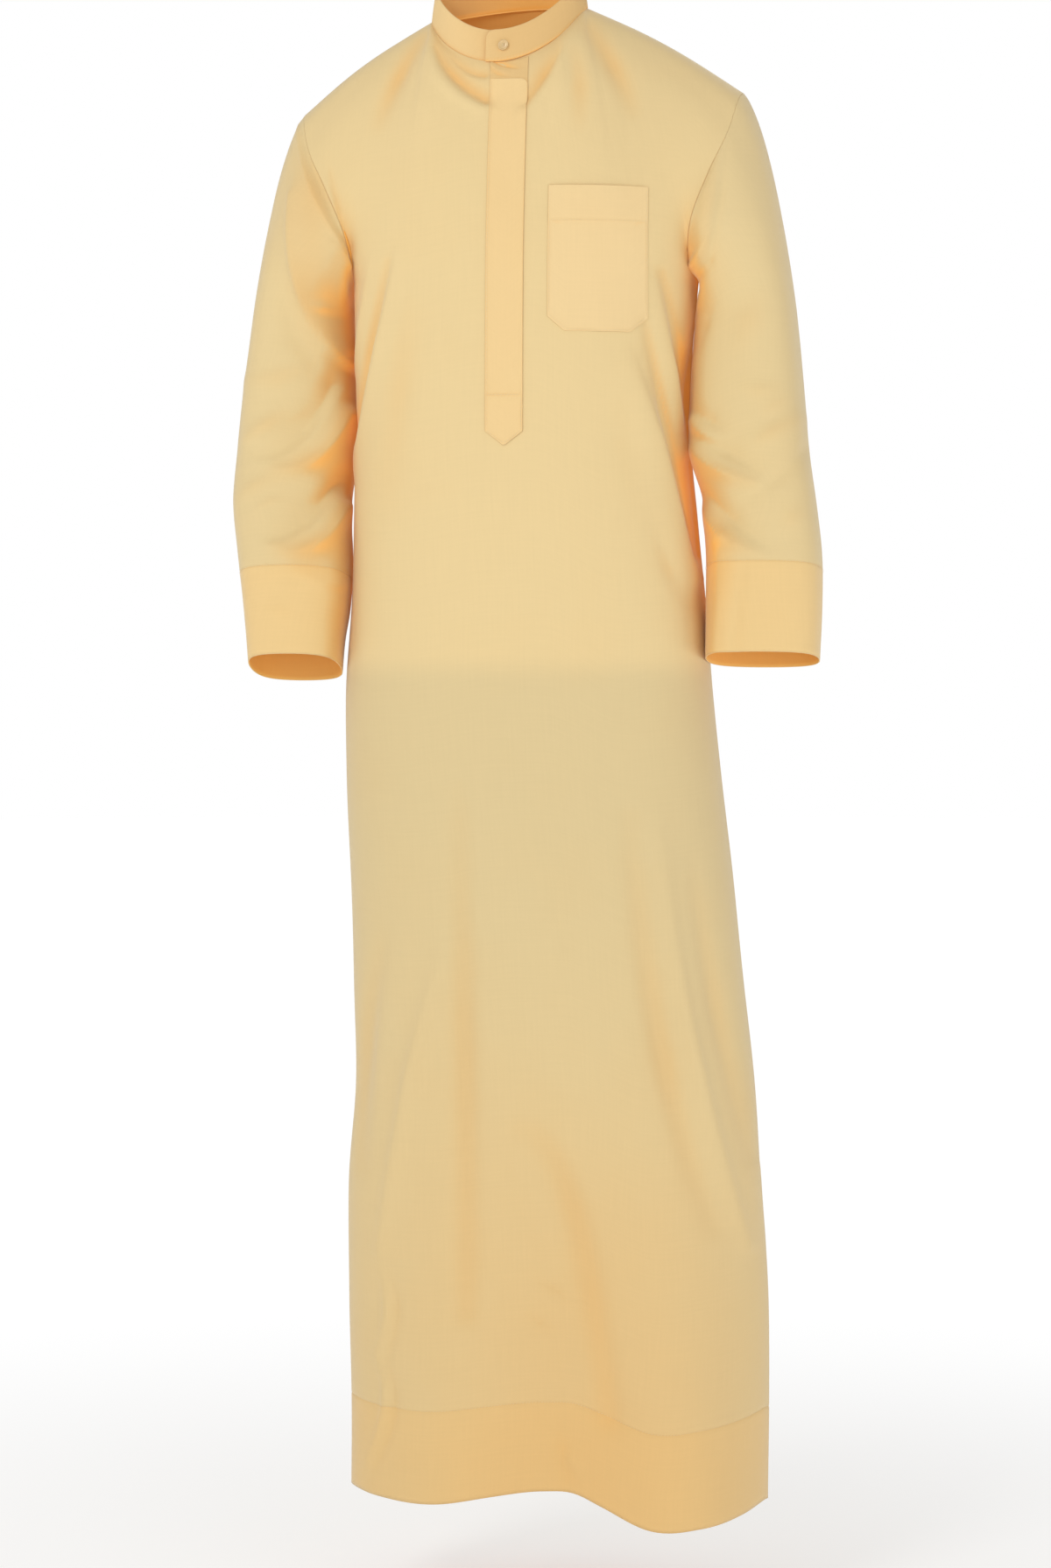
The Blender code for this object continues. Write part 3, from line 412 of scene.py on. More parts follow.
# How far the front's hem hangs below its cut line, by its place across
HemDrop = namedtuple("HemDrop", "across drop")
HEM_DROPS = (
    HemDrop(-1.00, 0.009),
    HemDrop(-0.80, 0.006),
    HemDrop(-0.60, 0.007),
    HemDrop(-0.30, 0.004),
    HemDrop(-0.15, -0.004),
    HemDrop(0.00, -0.009),
    HemDrop(0.09, -0.009),
    HemDrop(0.17, 0.001),
    HemDrop(0.30, 0.019),
    HemDrop(0.45, 0.018),
    HemDrop(0.65, 0.015),
    HemDrop(0.90, 0.012),
    HemDrop(1.00, 0.015),
)
HEM_DROP_REACH = 0.30

# Tints and depths that the cloth's shaders share
# painted shade: the tint that darkens the cloth where it is marked for it
PAINTED_SHADE_TINT = (0.90, 0.925, 0.955, 1)
# painted glow: emission that stands in for light coming through the cloth, outside and inside
PAINTED_THROUGH_GLOW = (0.95, 0.44, 0.08, 1)
PAINTED_INSIDE_GLOW = (0.95, 0.46, 0.08, 1)
WEAVE_DEPTH = 0.12
PLAIN_CRINKLE = 0.0003
PRESSED_CRINKLE = 0.00018

# The camera: how far from the upright axis, how far round it, how high and how it is aimed
CAMERA_DISTANCE = 4.0
CAMERA_TURN = math.radians(7.2)
CAMERA_HEIGHT = -0.596
CAMERA_SIDE = 0.0026
CAMERA_PITCH = math.radians(2.333)
CAMERA_LENS = 92.0
CAMERA_SENSOR = 36
FLOOR_HEIGHT = -1.575
FLOOR_RADIUS = 16

# The lights, which all aim at one point: name, which strength, place, size and tint
LIGHTS = (
    ("key_light", "key", (-1.6, -3.4, 1.6), 1.5, (1.0, 0.985, 0.955)),
    ("fill_light", "fill", (2.2, -2.9, -0.6), 2.4, (1.0, 0.98, 0.95)),
    ("edge_light_right", "edge", (-2.6, -0.7, 0.2), 1.6, (1.0, 0.985, 0.96)),
    ("edge_light_left", "edge", (2.8, -0.6, -0.9), 1.6, (1.0, 0.985, 0.96)),
)
LIGHT_TARGET = Vector((0, 0, -0.65))


# --- curves and shapes ----------------------------------------------------------------------------


def points(x, y, z):
    return np.stack(np.broadcast_arrays(x, y, z), axis=-1).astype(float)


def smooth_step(x):
    x = np.clip(x, 0, 1)
    return x * x * (3 - 2 * x)


def mix(a, b, share):
    return a + (b - a) * share


def fade(value, start, span):
    """From 0 at the start to 1 a span further on, or further back if the span is below 0."""
    return smooth_step((value - start) / span)


def bell(distance, width):
    """1 in the middle, falling off on both sides."""
    return np.exp(-((distance / width) ** 2))


def unit(vectors):
    return vectors / (np.linalg.norm(vectors, axis=-1, keepdims=True) + 1e-12)


def hermite(start, leaving, end, arriving, t):
    """The cubic from start to end whose direction is given at both."""
    return (
        (2 * t**3 - 3 * t**2 + 1) * start
        + (t**3 - 2 * t**2 + t) * leaving
        + (3 * t**2 - 2 * t**3) * end
        + (t**3 - t**2) * arriving
    )


def curve_through(rows, key, field):
    """A smooth curve of one named column of a table against another, which runs one way."""
    order = sorted(rows, key=lambda row: getattr(row, key))
    knots = np.array([getattr(row, key) for row in order])
    values = np.array([getattr(row, field) for row in order])
    slopes = np.gradient(values, knots)

    def at(place):
        place = np.clip(place, knots[0], knots[-1])
        i = np.clip(np.searchsorted(knots, place) - 1, 0, len(knots) - 2)
        step = knots[i + 1] - knots[i]
        share = (place - knots[i]) / step
        return hermite(values[i], slopes[i] * step, values[i + 1], slopes[i + 1] * step, share)

    return at


def curves(rows, key):
    return {field: curve_through(rows, key, field) for field in rows[0]._fields if field != key}


BODY_CURVES = curves(BODY, "height")
ARMHOLE_CURVES = curves(ARMHOLE, "share")
SLEEVE_CURVES = {side: curves(rings, "height") for side, rings in SLEEVES.items()}
HEM_CURVE = curve_through(HEM_DROPS, "across", "drop")


def fold_height(folds, x, height):
    """How far the folds lift the cloth at each point."""
    x, height = np.broadcast_arrays(np.asarray(x, float), np.asarray(height, float))
    lift = np.zeros(x.shape)
    share = np.linspace(0, 1, 15)
    for fold in folds:
        start, bend, end = (np.array(p) for p in (fold.start, fold.bend, fold.end))
        middle = 2 * bend - (start + end) / 2
        t = share[:, None]
        line = (1 - t) ** 2 * start + 2 * t * (1 - t) * middle + t**2 * end
        reach = 3.2 * fold.width * (1 + abs(fold.lean))
        low, high = line.min(0) - reach, line.max(0) + reach
        near = (x > low[0]) & (x < high[0]) & (height > low[1]) & (height < high[1])
        if not near.any():
            continue
        place = np.stack((x[near], height[near]), axis=-1)
        nearest = np.full(len(place), np.inf)
        stand = np.zeros(len(place))
        for i in range(len(line) - 1):
            run = line[i + 1] - line[i]
            off = place - line[i]
            along = np.clip(off @ run / (run @ run), 0, 1)
            miss = off - along[:, None] * run
            beside = (off[:, 0] * run[1] - off[:, 1] * run[0]) / np.linalg.norm(run)
            side = np.tanh(2 * beside / fold.width)
            distance = np.hypot(miss[:, 0], miss[:, 1]) / (fold.width * (1 - fold.lean * side))
            here = (i + along) / (len(line) - 1)
            closer = distance < nearest
            nearest = np.where(closer, distance, nearest)
            stand = np.where(closer, np.interp(here, (0, 0.5, 1), fold.stands), stand)
        lift[near] += stand * np.exp(-(nearest**fold.sharp))
    return lift


def ripple(x, height, seed):
    """Slow, small unevenness of a worn cloth, about -1 to 1, longer down it than across it."""
    total = np.zeros(np.broadcast(x, height).shape)
    numbers = np.random.RandomState(seed)
    for _ in range(26):
        across, down = numbers.uniform(8, 75), numbers.uniform(3, 26)
        slant = numbers.uniform(-0.35, 0.35)
        start = numbers.uniform(0, 2 * math.pi)
        strength = 1 / (1 + (across / 32) ** 2)
        total += strength * np.sin(across * (x + slant * height) + down * height + start)
    return total / 4.5


# --- front and back -------------------------------------------------------------------------------


def tube(across, height, face):
    """The body up to the underarm; across is -1 at the right side seam and 1 at the left one."""
    angle = (across + 1) * math.pi / 2
    power = 2 / BODY_CURVES["square"](height)
    cosine = np.cos(angle)
    sine = np.sin(angle)
    depth = BODY_CURVES["front" if face == FRONT else "back"](height)
    return points(
        BODY_CURVES["sway"](height)
        - BODY_CURVES["half_width"](height) * np.sign(cosine) * np.abs(cosine) ** power,
        face * depth * np.sign(sine) * np.abs(sine) ** power,
        height,
    )


def shoulder_tip(side):
    return np.array((side * SHOULDER_OUT, SHOULDER_FORE, -SHOULDER_DROP[side]))


def neckline(turn, face):
    """The neck seam: turn is 0 in the middle and -1 or 1 where it meets the shoulder seam."""
    angle = turn * math.pi / 2
    return points(
        NECK_SWAY + NECK_HALF_WIDTH * np.sin(angle),
        NECK_FORE + face * NECK_DEPTHS[face] * np.cos(angle),
        NECK_RISES[face] * np.abs(np.cos(angle)) ** 1.5 + NECK_TILT * np.sin(angle),
    )


def top_seam(across, face):
    """The neckline in the middle and a shoulder seam on each side of it."""
    neck = neckline(np.clip(across / NECK_SHARE, -1, 1), face)
    share = np.clip((np.abs(across) - NECK_SHARE) / (1 - NECK_SHARE), 0, 1)[..., None]
    tip = np.where((across < 0)[..., None], shoulder_tip(RIGHT), shoulder_tip(LEFT))
    seam = mix(neck, tip, share)
    seam[..., 2] += SHOULDER_CREST * np.sin(math.pi * share[..., 0])
    return seam


def armhole(share, side, face):
    """The armhole seam from the underarm, share 0, to the shoulder's tip, share 1."""
    back_share = 1 if face == FRONT else ARMHOLE_BACK_SHARE
    seam = points(
        side * ARMHOLE_CURVES["out"](share),
        face * ARMHOLE_CURVES["fore"](share) * back_share,
        ARMHOLE_CURVES["height"](share),
    )
    first, last = ARMHOLE[0], ARMHOLE[-1]
    low = tube(np.array(float(side)), UNDERARM, face) - (side * first.out, 0, first.height)
    high = shoulder_tip(side) - (side * last.out, face * last.fore * back_share, last.height)
    share = np.asarray(share, dtype=float)[..., None]
    return seam + low * (1 - share) + high * share


def eased_seam(across, face):
    """The top seam with the corner at the collar rounded off, for the cloth further down."""
    reach = np.minimum(CORNER_EASE, (1 - np.abs(across)) / 2)
    eased = np.zeros((*across.shape, 3))
    for step, weight in zip(range(-3, 4), (1, 6, 15, 20, 15, 6, 1)):
        eased += top_seam(across + reach * step / 3, face) * weight / 64
    return eased


def top_arrival(across, face):
    """How the cloth reaches the top seam: over the shoulder, and up to the collar."""
    middle = np.cos(np.clip(across / NECK_SHARE, -1, 1) * math.pi / 2)[..., None] ** 2
    over = np.array((0, -face * SHOULDER_REACH, SHOULDER_RISE))
    up = np.array((0, -face * NECK_REACH[face], NECK_RISE))
    return mix(over, up, middle)


def plain_panel(across, up, face):
    """The front or back without folds; up is 0 at the hem, 1 at the underarm, 2 at the top."""
    across, up = np.broadcast_arrays(np.asarray(across, float), np.asarray(up, float))
    below = tube(across, mix(HEM, UNDERARM, np.clip(up, 0, 1)), face)
    if face == FRONT:
        drop = HEM_CURVE(across)
    else:
        drop = mix(HEM_DROPS[0].drop, HEM_DROPS[-1].drop, (across + 1) / 2)
    below[..., 2] -= drop * smooth_step(1 - up / HEM_DROP_REACH)
    t = np.clip(up - 1, 0, 1.01)[..., None]

    def rise(place):
        start = tube(place, np.full(place.shape, UNDERARM), face)
        below_start = tube(place, np.full(place.shape, UNDERARM - SLOPE_STEP), face)
        end = eased_seam(place, face)
        leaving = (start - below_start) / SLOPE_STEP * (end[..., 2:] - UNDERARM) * PANEL_LEAVING
        rising = hermite(start, leaving, end, top_arrival(place, face), t)
        return rising + (top_seam(place, face) - end) * t**CORNER_GRIP

    side = np.where(across < 0, -1.0, 1.0)
    seam = np.where(
        (side < 0)[..., None], armhole(t[..., 0], RIGHT, face), armhole(t[..., 0], LEFT, face)
    )
    above = rise(across) + (seam - rise(side)) * np.abs(across)[..., None] ** SIDE_GRIP
    panel = np.where((up <= 1)[..., None], below, above)
    panel[..., 1] += face * SEAM_GAP / 2
    return panel


def panel_lift(across, up, face):
    """How far the front or back is lifted off its plain shape by its folds and its unevenness."""
    place = plain_panel(across, up, face)
    x, height = place[..., 0], place[..., 2]
    sizes = bpy.context.scene.thobe_sizes
    calm = smooth_step((1 - np.abs(across)) / SEAM_CALM) * smooth_step((2 - up) / SEAM_CALM)
    uneven = ripple(x, height, RIPPLE_SEEDS[face]) * sizes.ripple
    return (fold_height(PANEL_FOLDS[face], x, height) + uneven) * calm


def lifted(plain, lift, a, b, which):
    """A plain surface with its folds; which is the face of a panel or the side of a sleeve."""
    a, b = np.broadcast_arrays(np.asarray(a, float), np.asarray(b, float))
    by_a = plain(a + NUDGE, b, which) - plain(a - NUDGE, b, which)
    by_b = plain(a, b + NUDGE, which) - plain(a, b - NUDGE, which)
    outward = unit(np.cross(by_a, by_b)) * -which
    return plain(a, b, which) + outward * lift(a, b, which)[..., None]


def on_surface(surface, a, b, which, off=0.0):
    """Points of a panel or a sleeve, moved off its outer side, and which way is out."""
    here = surface(a, b, which)
    by_a = surface(a + NUDGE, b, which) - here
    by_b = surface(a, b + NUDGE, which) - here
    outward = unit(np.cross(by_a, by_b)) * -which
    return here + outward * off, outward


def panel(across, up, face):
    return lifted(plain_panel, panel_lift, across, up, face)


# --- sleeves --------------------------------------------------------------------------------------


def ring(turn, height, side):
    """A ring of the sleeve; turn is 0 outside, a quarter in front and a half at the body."""
    place = SLEEVE_CURVES[side]
    angle = turn * 2 * math.pi
    cosine = np.cos(angle) - SLEEVE_FLATNESS * np.cos(3 * angle)
    sine = np.sin(angle) + SLEEVE_FLATNESS * np.sin(3 * angle)
    out = place["half_width"](height) * cosine / (1 - SLEEVE_FLATNESS)
    fore = place["half_depth"](height) * sine / (1 - SLEEVE_FLATNESS)
    tilt = place["tilt"](height)
    return points(
        side * (place["out"](height) + out),
        place["fore"](height) - fore * np.cos(tilt),
        height + fore * np.sin(tilt),
    )


def sleeve_head(turn, side):
    """The armhole seam by the sleeve's turn, just off the body, and how the cloth leaves it."""
    front_half = turn <= 0.5
    share = np.abs(1 - 2 * turn)
    seam = np.where(front_half[..., None], armhole(share, side, FRONT), armhole(share, side, BACK))
    over = (np.cos(turn * 2 * math.pi) + 1) / 2
    under_arm, over_arm = (
        points(side * out, 0, -drop) for out, drop in (UNDER_ARM_LEAVING, OVER_ARM_LEAVING)
    )
    leaving = mix(under_arm, over_arm, over[..., None])
    leaving[..., 1] -= ROUND_ARM_LEAVING * np.sin(turn * 2 * math.pi)
    off = leaving / np.linalg.norm(leaving, axis=-1, keepdims=True)
    off = off + points(side * 0.9, 0, 0) * (1 - over[..., None])
    return seam + off * ARMHOLE_GAP, leaving


def plain_sleeve(turn, down, side):
    """The sleeve without folds; down is 0 at the armhole, 1 at the first ring, 2 at the end."""
    turn, down = np.broadcast_arrays(np.asarray(turn, float), np.asarray(down, float))
    rings = SLEEVES[side]
    first, last = rings[0].height, rings[-1].height
    lower = ring(turn, mix(first, last, np.clip(down - 1, 0, 1)), side)
    head, leaving = sleeve_head(np.clip(turn % 1, 0, 1), side)
    end = ring(turn, np.full(turn.shape, first), side)
    slope = (ring(turn, np.full(turn.shape, first - SLOPE_STEP), side) - end) / SLOPE_STEP
    arriving = slope * np.maximum(np.linalg.norm(end - head, axis=-1, keepdims=True), 0.03)
    upper = hermite(head, leaving, end, arriving, np.clip(down, 0, 1)[..., None])
    return np.where((down >= 1)[..., None], lower, upper)


def sleeve_lift(turn, down, side):
    """How far a sleeve is lifted off its plain shape by its folds and its unevenness."""
    place = plain_sleeve(turn, down, side)
    facing = np.sin(turn * 2 * math.pi)
    out, height = side * place[..., 0], place[..., 2]
    front = fold_height(SLEEVE_FRONT_FOLDS[side], out, height)
    lift = front * np.where(front > 0, fade(facing, 0.02, 0.4), fade(facing, -0.3, 0.5))
    lift += fold_height(SLEEVE_BACK_FOLDS, out + 0.004 * side, height) * fade(facing, 0, -0.5)
    around = 0.45 * np.sin(2 * math.pi * turn) * 0.3
    along = height + 0.03 * np.cos(2 * math.pi * turn)
    uneven = ripple(around, along, 5 + side) * bpy.context.scene.thobe_sizes.ripple
    lift += uneven * smooth_step((2 - down) / 0.5)
    return lift * smooth_step(down / 0.05)


def sleeve(turn, down, side):
    return lifted(plain_sleeve, sleeve_lift, turn, down, side)


# --- what lies on the front -----------------------------------------------------------------------


def front_at(x, height):
    """The front's point and outward normal at each x and height, found by following its slope."""
    x, height = np.broadcast_arrays(np.asarray(x, float), np.asarray(height, float))
    across = np.clip(x / BODY[0].half_width, -0.95, 0.95) * 0.6
    above = height - UNDERARM
    up = 1 + np.where(above < 0, above / (UNDERARM - HEM), above / 0.23)
    for _ in range(SEARCH_ROUNDS):
        here = panel(across, up, FRONT)
        a_x, _, a_z = np.moveaxis((panel(across + NUDGE, up, FRONT) - here) / NUDGE, -1, 0)
        b_x, _, b_z = np.moveaxis((panel(across, up + NUDGE, FRONT) - here) / NUDGE, -1, 0)
        miss_x, miss_z = x - here[..., 0], height - here[..., 2]
        size = a_x * b_z - b_x * a_z
        step_a, step_b = (
            np.clip(step / size, -SEARCH_STRIDE, SEARCH_STRIDE)
            for step in (miss_x * b_z - miss_z * b_x, miss_z * a_x - miss_x * a_z)
        )
        across, up = np.clip(across + step_a, -0.98, 0.98), np.clip(up + step_b, 0, 2.004)
    return on_surface(panel, across, up, FRONT)


# --- meshes ---------------------------------------------------------------------------------------


def free_names(*names):
    """Takes away what an earlier run of an operator made under these names."""
    for name in names:
        old = bpy.data.objects.get(name)
        if old is not None:
            bpy.data.objects.remove(old, do_unlink=True)


def outward_of(grid, closed=False):
    """The normal of a grid of points at each of them: across its columns, then up its rows."""
    if closed:
        wide = np.concatenate((grid[:, -1:], grid, grid[:, :1]), axis=1)
        by_column = wide[:, 2:] - wide[:, :-2]
    else:
        by_column = np.gradient(grid, axis=1)
    return unit(np.cross(by_column, np.gradient(grid, axis=0)))


def lengths(grid, axis):
    """How far along the cloth each point lies, in metres, along one axis of the grid."""
    steps = np.linalg.norm(np.diff(grid, axis=axis), axis=-1)
    lead = np.zeros_like(np.take(steps, [0], axis=axis))
    return np.concatenate((lead, np.cumsum(steps, axis=axis)), axis=axis)


def turned_strips(edge, beneath, normal):
    """The strips by which an edge turns in, from the row beneath it and its normal."""
    aside = unit(edge - beneath)
    return [edge - normal * deep + aside * beside for beside, deep in TURN_IN]


def turned_in(grid, marks):
    """Turns a panel in along its top and both sides, as a seam allowance, and keeps the marks."""
    for axis, last in ((0, True), (1, False), (1, True)):
        end, beneath = (-1, -2) if last else (0, 1)
        edge, inner = (np.take(grid, [i], axis=axis) for i in (end, beneath))
        strips = turned_strips(edge, inner, np.take(outward_of(grid), [end], axis=axis))
        grid = np.concatenate([grid, *strips] if last else [*strips[::-1], grid], axis=axis)
        for key, mark in marks.items():
            side = np.take(mark, [end], axis=axis)
            # the turned-in strips keep the panel's marks and get painted shade
            side = np.maximum(side, TURNED_IN_PAINTED_SHADE * (key == "warmth"))
            parts = [mark, side, side] if last else [side, side, mark]
            marks[key] = np.concatenate(parts, axis=axis)
    return grid


def new_piece(name, verts, faces):
    """A new smooth object in the scene from its points and faces."""
    mesh = bpy.data.meshes.new(name)
    mesh.from_pydata(np.reshape(verts, (-1, 3)).tolist(), [], faces)
    mesh.shade_smooth()
    piece = bpy.data.objects.new(name, mesh)
    bpy.context.scene.collection.objects.link(piece)
    return piece


def grid_faces(rows, columns, closed):
    """The quads of a grid of points, as lists of their numbers."""
    index = np.arange(rows * columns).reshape(rows, columns)
    beside = np.roll(index, -1, axis=1)
    last = None if closed else -1
    around = (index[:-1, :last], beside[:-1, :last], beside[1:, :last], index[1:, :last])
    return np.stack(around, axis=-1).reshape(-1, 4).tolist()


def mark_grid(mesh, grid, marks, closed, centred=True):
    """Gives a mesh whose first faces are a grid's the cut in metres as UV map, and its marks."""
    wide = np.concatenate((grid, grid[:, :1]), axis=1) if closed else grid
    u, v = lengths(wide, 1), lengths(wide, 0)
    if centred:
        u = u - u[:, u.shape[1] // 2][:, None]
    cut = np.stack((u, v), axis=-1)
    corners = np.stack((cut[:-1, :-1], cut[:-1, 1:], cut[1:, 1:], cut[1:, :-1]), axis=-2)
    places = np.zeros((len(mesh.loops), 2), np.float32)
    places[: corners.size // 2] = corners.reshape(-1, 2)
    mesh.uv_layers.new(name="Cut").data.foreach_set("uv", places.ravel())
    for key, mark in marks.items():
        values = np.broadcast_to(mark, grid.shape[:2]).astype(np.float32)
        mesh.attributes.new(key, "FLOAT", "POINT").data.foreach_set("value", values.ravel())


def cloth_object(name, grid, marks, wall, doubled_wall, closed=False):
    """A grid of points as a thin piece of cloth, thicker where it is marked as in two layers."""
    piece = new_piece(name, grid, grid_faces(*grid.shape[:2], closed))
    mark_grid(piece.data, grid, marks, closed)
    group = piece.vertex_groups.new(name="Doubled")
    doubled = np.flatnonzero(marks["layers"].ravel() > 0.5)
    if len(doubled):
        group.add(doubled.tolist(), 1.0, "REPLACE")
    for _ in range(2):
        piece.data.materials.append(None)
    solid = piece.modifiers.new("Thickness", "SOLIDIFY")
    solid.offset = -1.0
    solid.thickness = doubled_wall
    solid.vertex_group = group.name
    solid.thickness_vertex_group = wall / doubled_wall
    solid.material_offset = 1
    apply_modifiers(piece)
    piece.vertex_groups.clear()
    return piece


def select_only(piece):
    bpy.ops.object.select_all(action="DESELECT")
    piece.select_set(True)
    bpy.context.view_layer.objects.active = piece


def face_outwards(piece):
    select_only(piece)
    bpy.ops.object.mode_set(mode="EDIT")
    bpy.ops.mesh.select_all(action="SELECT")
    bpy.ops.mesh.normals_make_consistent(inside=False)
    bpy.ops.object.mode_set(mode="OBJECT")
    return piece


def apply_modifiers(piece):
    select_only(piece)
    for modifier in list(piece.modifiers):
        bpy.ops.object.modifier_apply(modifier=modifier.name)


def seam_spaced(start, end, count, grip=(True, True)):
    """Shares from start to end with closer ones beside the ends where a seam holds the cloth."""
    spread = np.linspace(0, 1, count)
    extra = [np.array(SEAM_SHARES)] if grip[0] else []
    extra += [1 - np.array(SEAM_SHARES)] if grip[1] else []
    step = 1 / (count - 1)
    keep = spread[(spread > SEAM_SHARES[-1] + step / 3) | (not grip[0])]
    keep = keep[(keep < 1 - SEAM_SHARES[-1] - step / 3) | (not grip[1])]
    return start + (end - start) * np.unique(np.concatenate((keep, *extra)).round(9))


def hollow(folds, x, height):
    """How deep each point lies in the folds, between 0 and 1; the broad ones don't count."""
    narrow = [fold for fold in folds if fold.width < BROAD_FOLD]
    return np.clip(-fold_height(narrow, x, height) / DEEP_FOLD, 0, 1)


def panel_piece(name, face):
    """The front or back: its grid follows the hem, its seam line, the sides and the top seam."""
    sizes = bpy.context.scene.thobe_sizes
    step = sizes.grid_step
    hem_share = sizes.hem_depth / (UNDERARM - HEM)
    rows = (
        np.linspace(0, hem_share, int(sizes.hem_depth / step) + 1)[:-1],
        hem_share + GROOVE_ROWS / (UNDERARM - HEM),
        np.linspace(hem_share, 1, int((UNDERARM - HEM - sizes.hem_depth) / step) + 1)[1:],
        seam_spaced(1, 2, int(PANEL_RISE / step), grip=(False, True))[1:],
    )
    up = np.unique(np.concatenate(rows).round(9))
    columns = int(PANEL_GIRTH / step)
    shoulder = int(columns * (1 - NECK_SHARE) / 2)
    across = np.concatenate((
        seam_spaced(-1, -NECK_SHARE, shoulder, grip=(True, False)),
        np.linspace(-NECK_SHARE, NECK_SHARE, columns - 2 * shoulder)[1:-1],
        seam_spaced(NECK_SHARE, 1, shoulder, grip=(False, True)),
    ))
    if face == BACK:
        across = across[::-1]
    a, b = np.broadcast_arrays(across[None, :], up[:, None])
    grid = panel(a, b, face)
    height = grid[..., 2]
    groove = bell((b - hem_share) * (UNDERARM - HEM), GROOVE_WIDTH) * sizes.seam_groove
    grid = grid - outward_of(grid) * groove[..., None]
    # painted shade in narrow fold hollows, beside the arms and below the collar
    warmth = hollow(PANEL_FOLDS[face], grid[..., 0], height)
    warmth *= mix(HOLLOW_PAINTED_SHADE[face], SKIRT_HOLLOW_PAINTED_SHADE, fade(height, *SKIRT))
    beside_arm = fade(np.abs(a), *ARM_ACROSS) * fade(height, *ARM_BOTTOM) * fade(height, *ARM_TOP)
    warmth += BESIDE_ARM_PAINTED_SHADE * beside_arm
    # warmer and darker towards the hem, most near the middle
    middle = bell(a - LOW_MIDDLE, LOW_WIDTH)
    warmth += (LOW_WARMTH + LOW_MIDDLE_WARMTH * middle) * fade(height, *SHIN)
    below_collar = bell(2 - b, COLLAR_SHADE_DEPTH) * fade(np.abs(a), *COLLAR_ACROSS)
    below_collar *= face == FRONT
    warmth += BELOW_COLLAR_PAINTED_SHADE * below_collar
    # painted shade below the hip, where no undershirt backs the cloth, and below the collar
    thin = fade(height, *HIP) * (1 - THIGH_LOSS * fade(height, *THIGH))
    marks = {
        "layers": (b <= hem_share).astype(float),
        "warmth": np.clip(warmth, 0, 1),
        "thin": np.maximum(thin, below_collar * mix(0.5, 1.0, (a + 0.3) / 0.6)),
    }
    grid = turned_in(grid, marks)
    return cloth_object(name, grid, marks, sizes.cloth_thickness, sizes.doubled_thickness)


def cuff_line(side):
    """Where the cuff starts, by the sleeve's own measure down."""
    lower = SLEEVES[side][0].height - SLEEVES[side][-1].height
    return 2 - bpy.context.scene.thobe_sizes.cuff_depth / lower


def sleeve_piece(name, side):
    sizes = bpy.context.scene.thobe_sizes
    step = sizes.grid_step * SLEEVE_FINENESS
    lower = SLEEVES[side][0].height - SLEEVES[side][-1].height
    cuff_top = cuff_line(side)
    down = np.unique(np.concatenate((
        np.array(SEAM_SHARES) * 2,
        np.linspace(0, 1, int(SLEEVE_HEAD / step))[1:],
        np.linspace(1, 2, int(lower / step)),
        cuff_top + GROOVE_ROWS / lower,
    )).round(9))
    turn = np.linspace(0, 1, int(SLEEVE_GIRTH / step) + 1)[:-1]
    if side == LEFT:
        turn = turn[::-1]
    # rows run from the cuff up to the armhole, so that the cloth faces outwards
    a, b = np.broadcast_arrays(turn[None, :], down[::-1, None])
    grid = sleeve(a, b, side)
    normal = outward_of(grid, closed=True)
    groove = bell((b - cuff_top) * lower, GROOVE_WIDTH) * sizes.seam_groove
    grid = grid - normal * groove[..., None]
    out, height = side * grid[..., 0], grid[..., 2]
    # painted bounce light: cloth that faces the body or the floor is painted warmer, for light
    # bounced from the cloth it faces
    facing = normal @ unit(np.array(SLEEVE_FACING) * (side, 1, 1))
    facing = np.clip((facing - SLEEVE_FACING_START) / SLEEVE_FACING_SPAN, 0, 1)
    # painted shade in the sleeve's fold hollows and at its spots, mostly on its front
    warmth = SLEEVE_HOLLOW_PAINTED_SHADE * hollow(SLEEVE_FRONT_FOLDS[side], out, height)
    for middle, level, wide, tall, strength in PAINTED_SHADE_SPOTS[side]:
        warmth += strength * bell(out - middle, wide) * bell(height - level, tall)
    warmth *= fade(np.sin(a * 2 * math.pi), -0.3, 0.5)
    warmth += SLEEVE_FACING_PAINTED_SHADE * facing
    marks = {
        "layers": (b >= cuff_top).astype(float),
        "warmth": np.clip(warmth, 0, 1),
        # painted shade over the sleeve above its cuff
        "thin": SLEEVE_PAINTED_SHADE * (b < cuff_top),
    }
    grid = np.concatenate((grid, turned_strips(grid[-1], grid[-2], normal[-1])), axis=0)
    for key, mark in marks.items():
        marks[key] = np.concatenate((mark, mark[-1:], mark[-1:]), axis=0)
    walls = (sizes.cloth_thickness, sizes.doubled_thickness)
    return cloth_object(name, grid, marks, *walls, closed=True)


# --- collar, placket, pocket and button -----------------------------------------------------------


def collar_base(turn):
    """The neck seam all round: turn counts quarters from the front's middle by the left side."""
    quarter = turn % 4
    front_left, back_half, front_right = (
        neckline(np.clip(quarter, 0, 1), FRONT),
        neckline(2 - np.clip(quarter, 1, 3), BACK),
        neckline(np.clip(quarter, 3, 4) - 4, FRONT),
    )
    line = np.where((quarter <= 1)[..., None], front_left, back_half)
    return np.where((quarter > 3)[..., None], front_right, line)


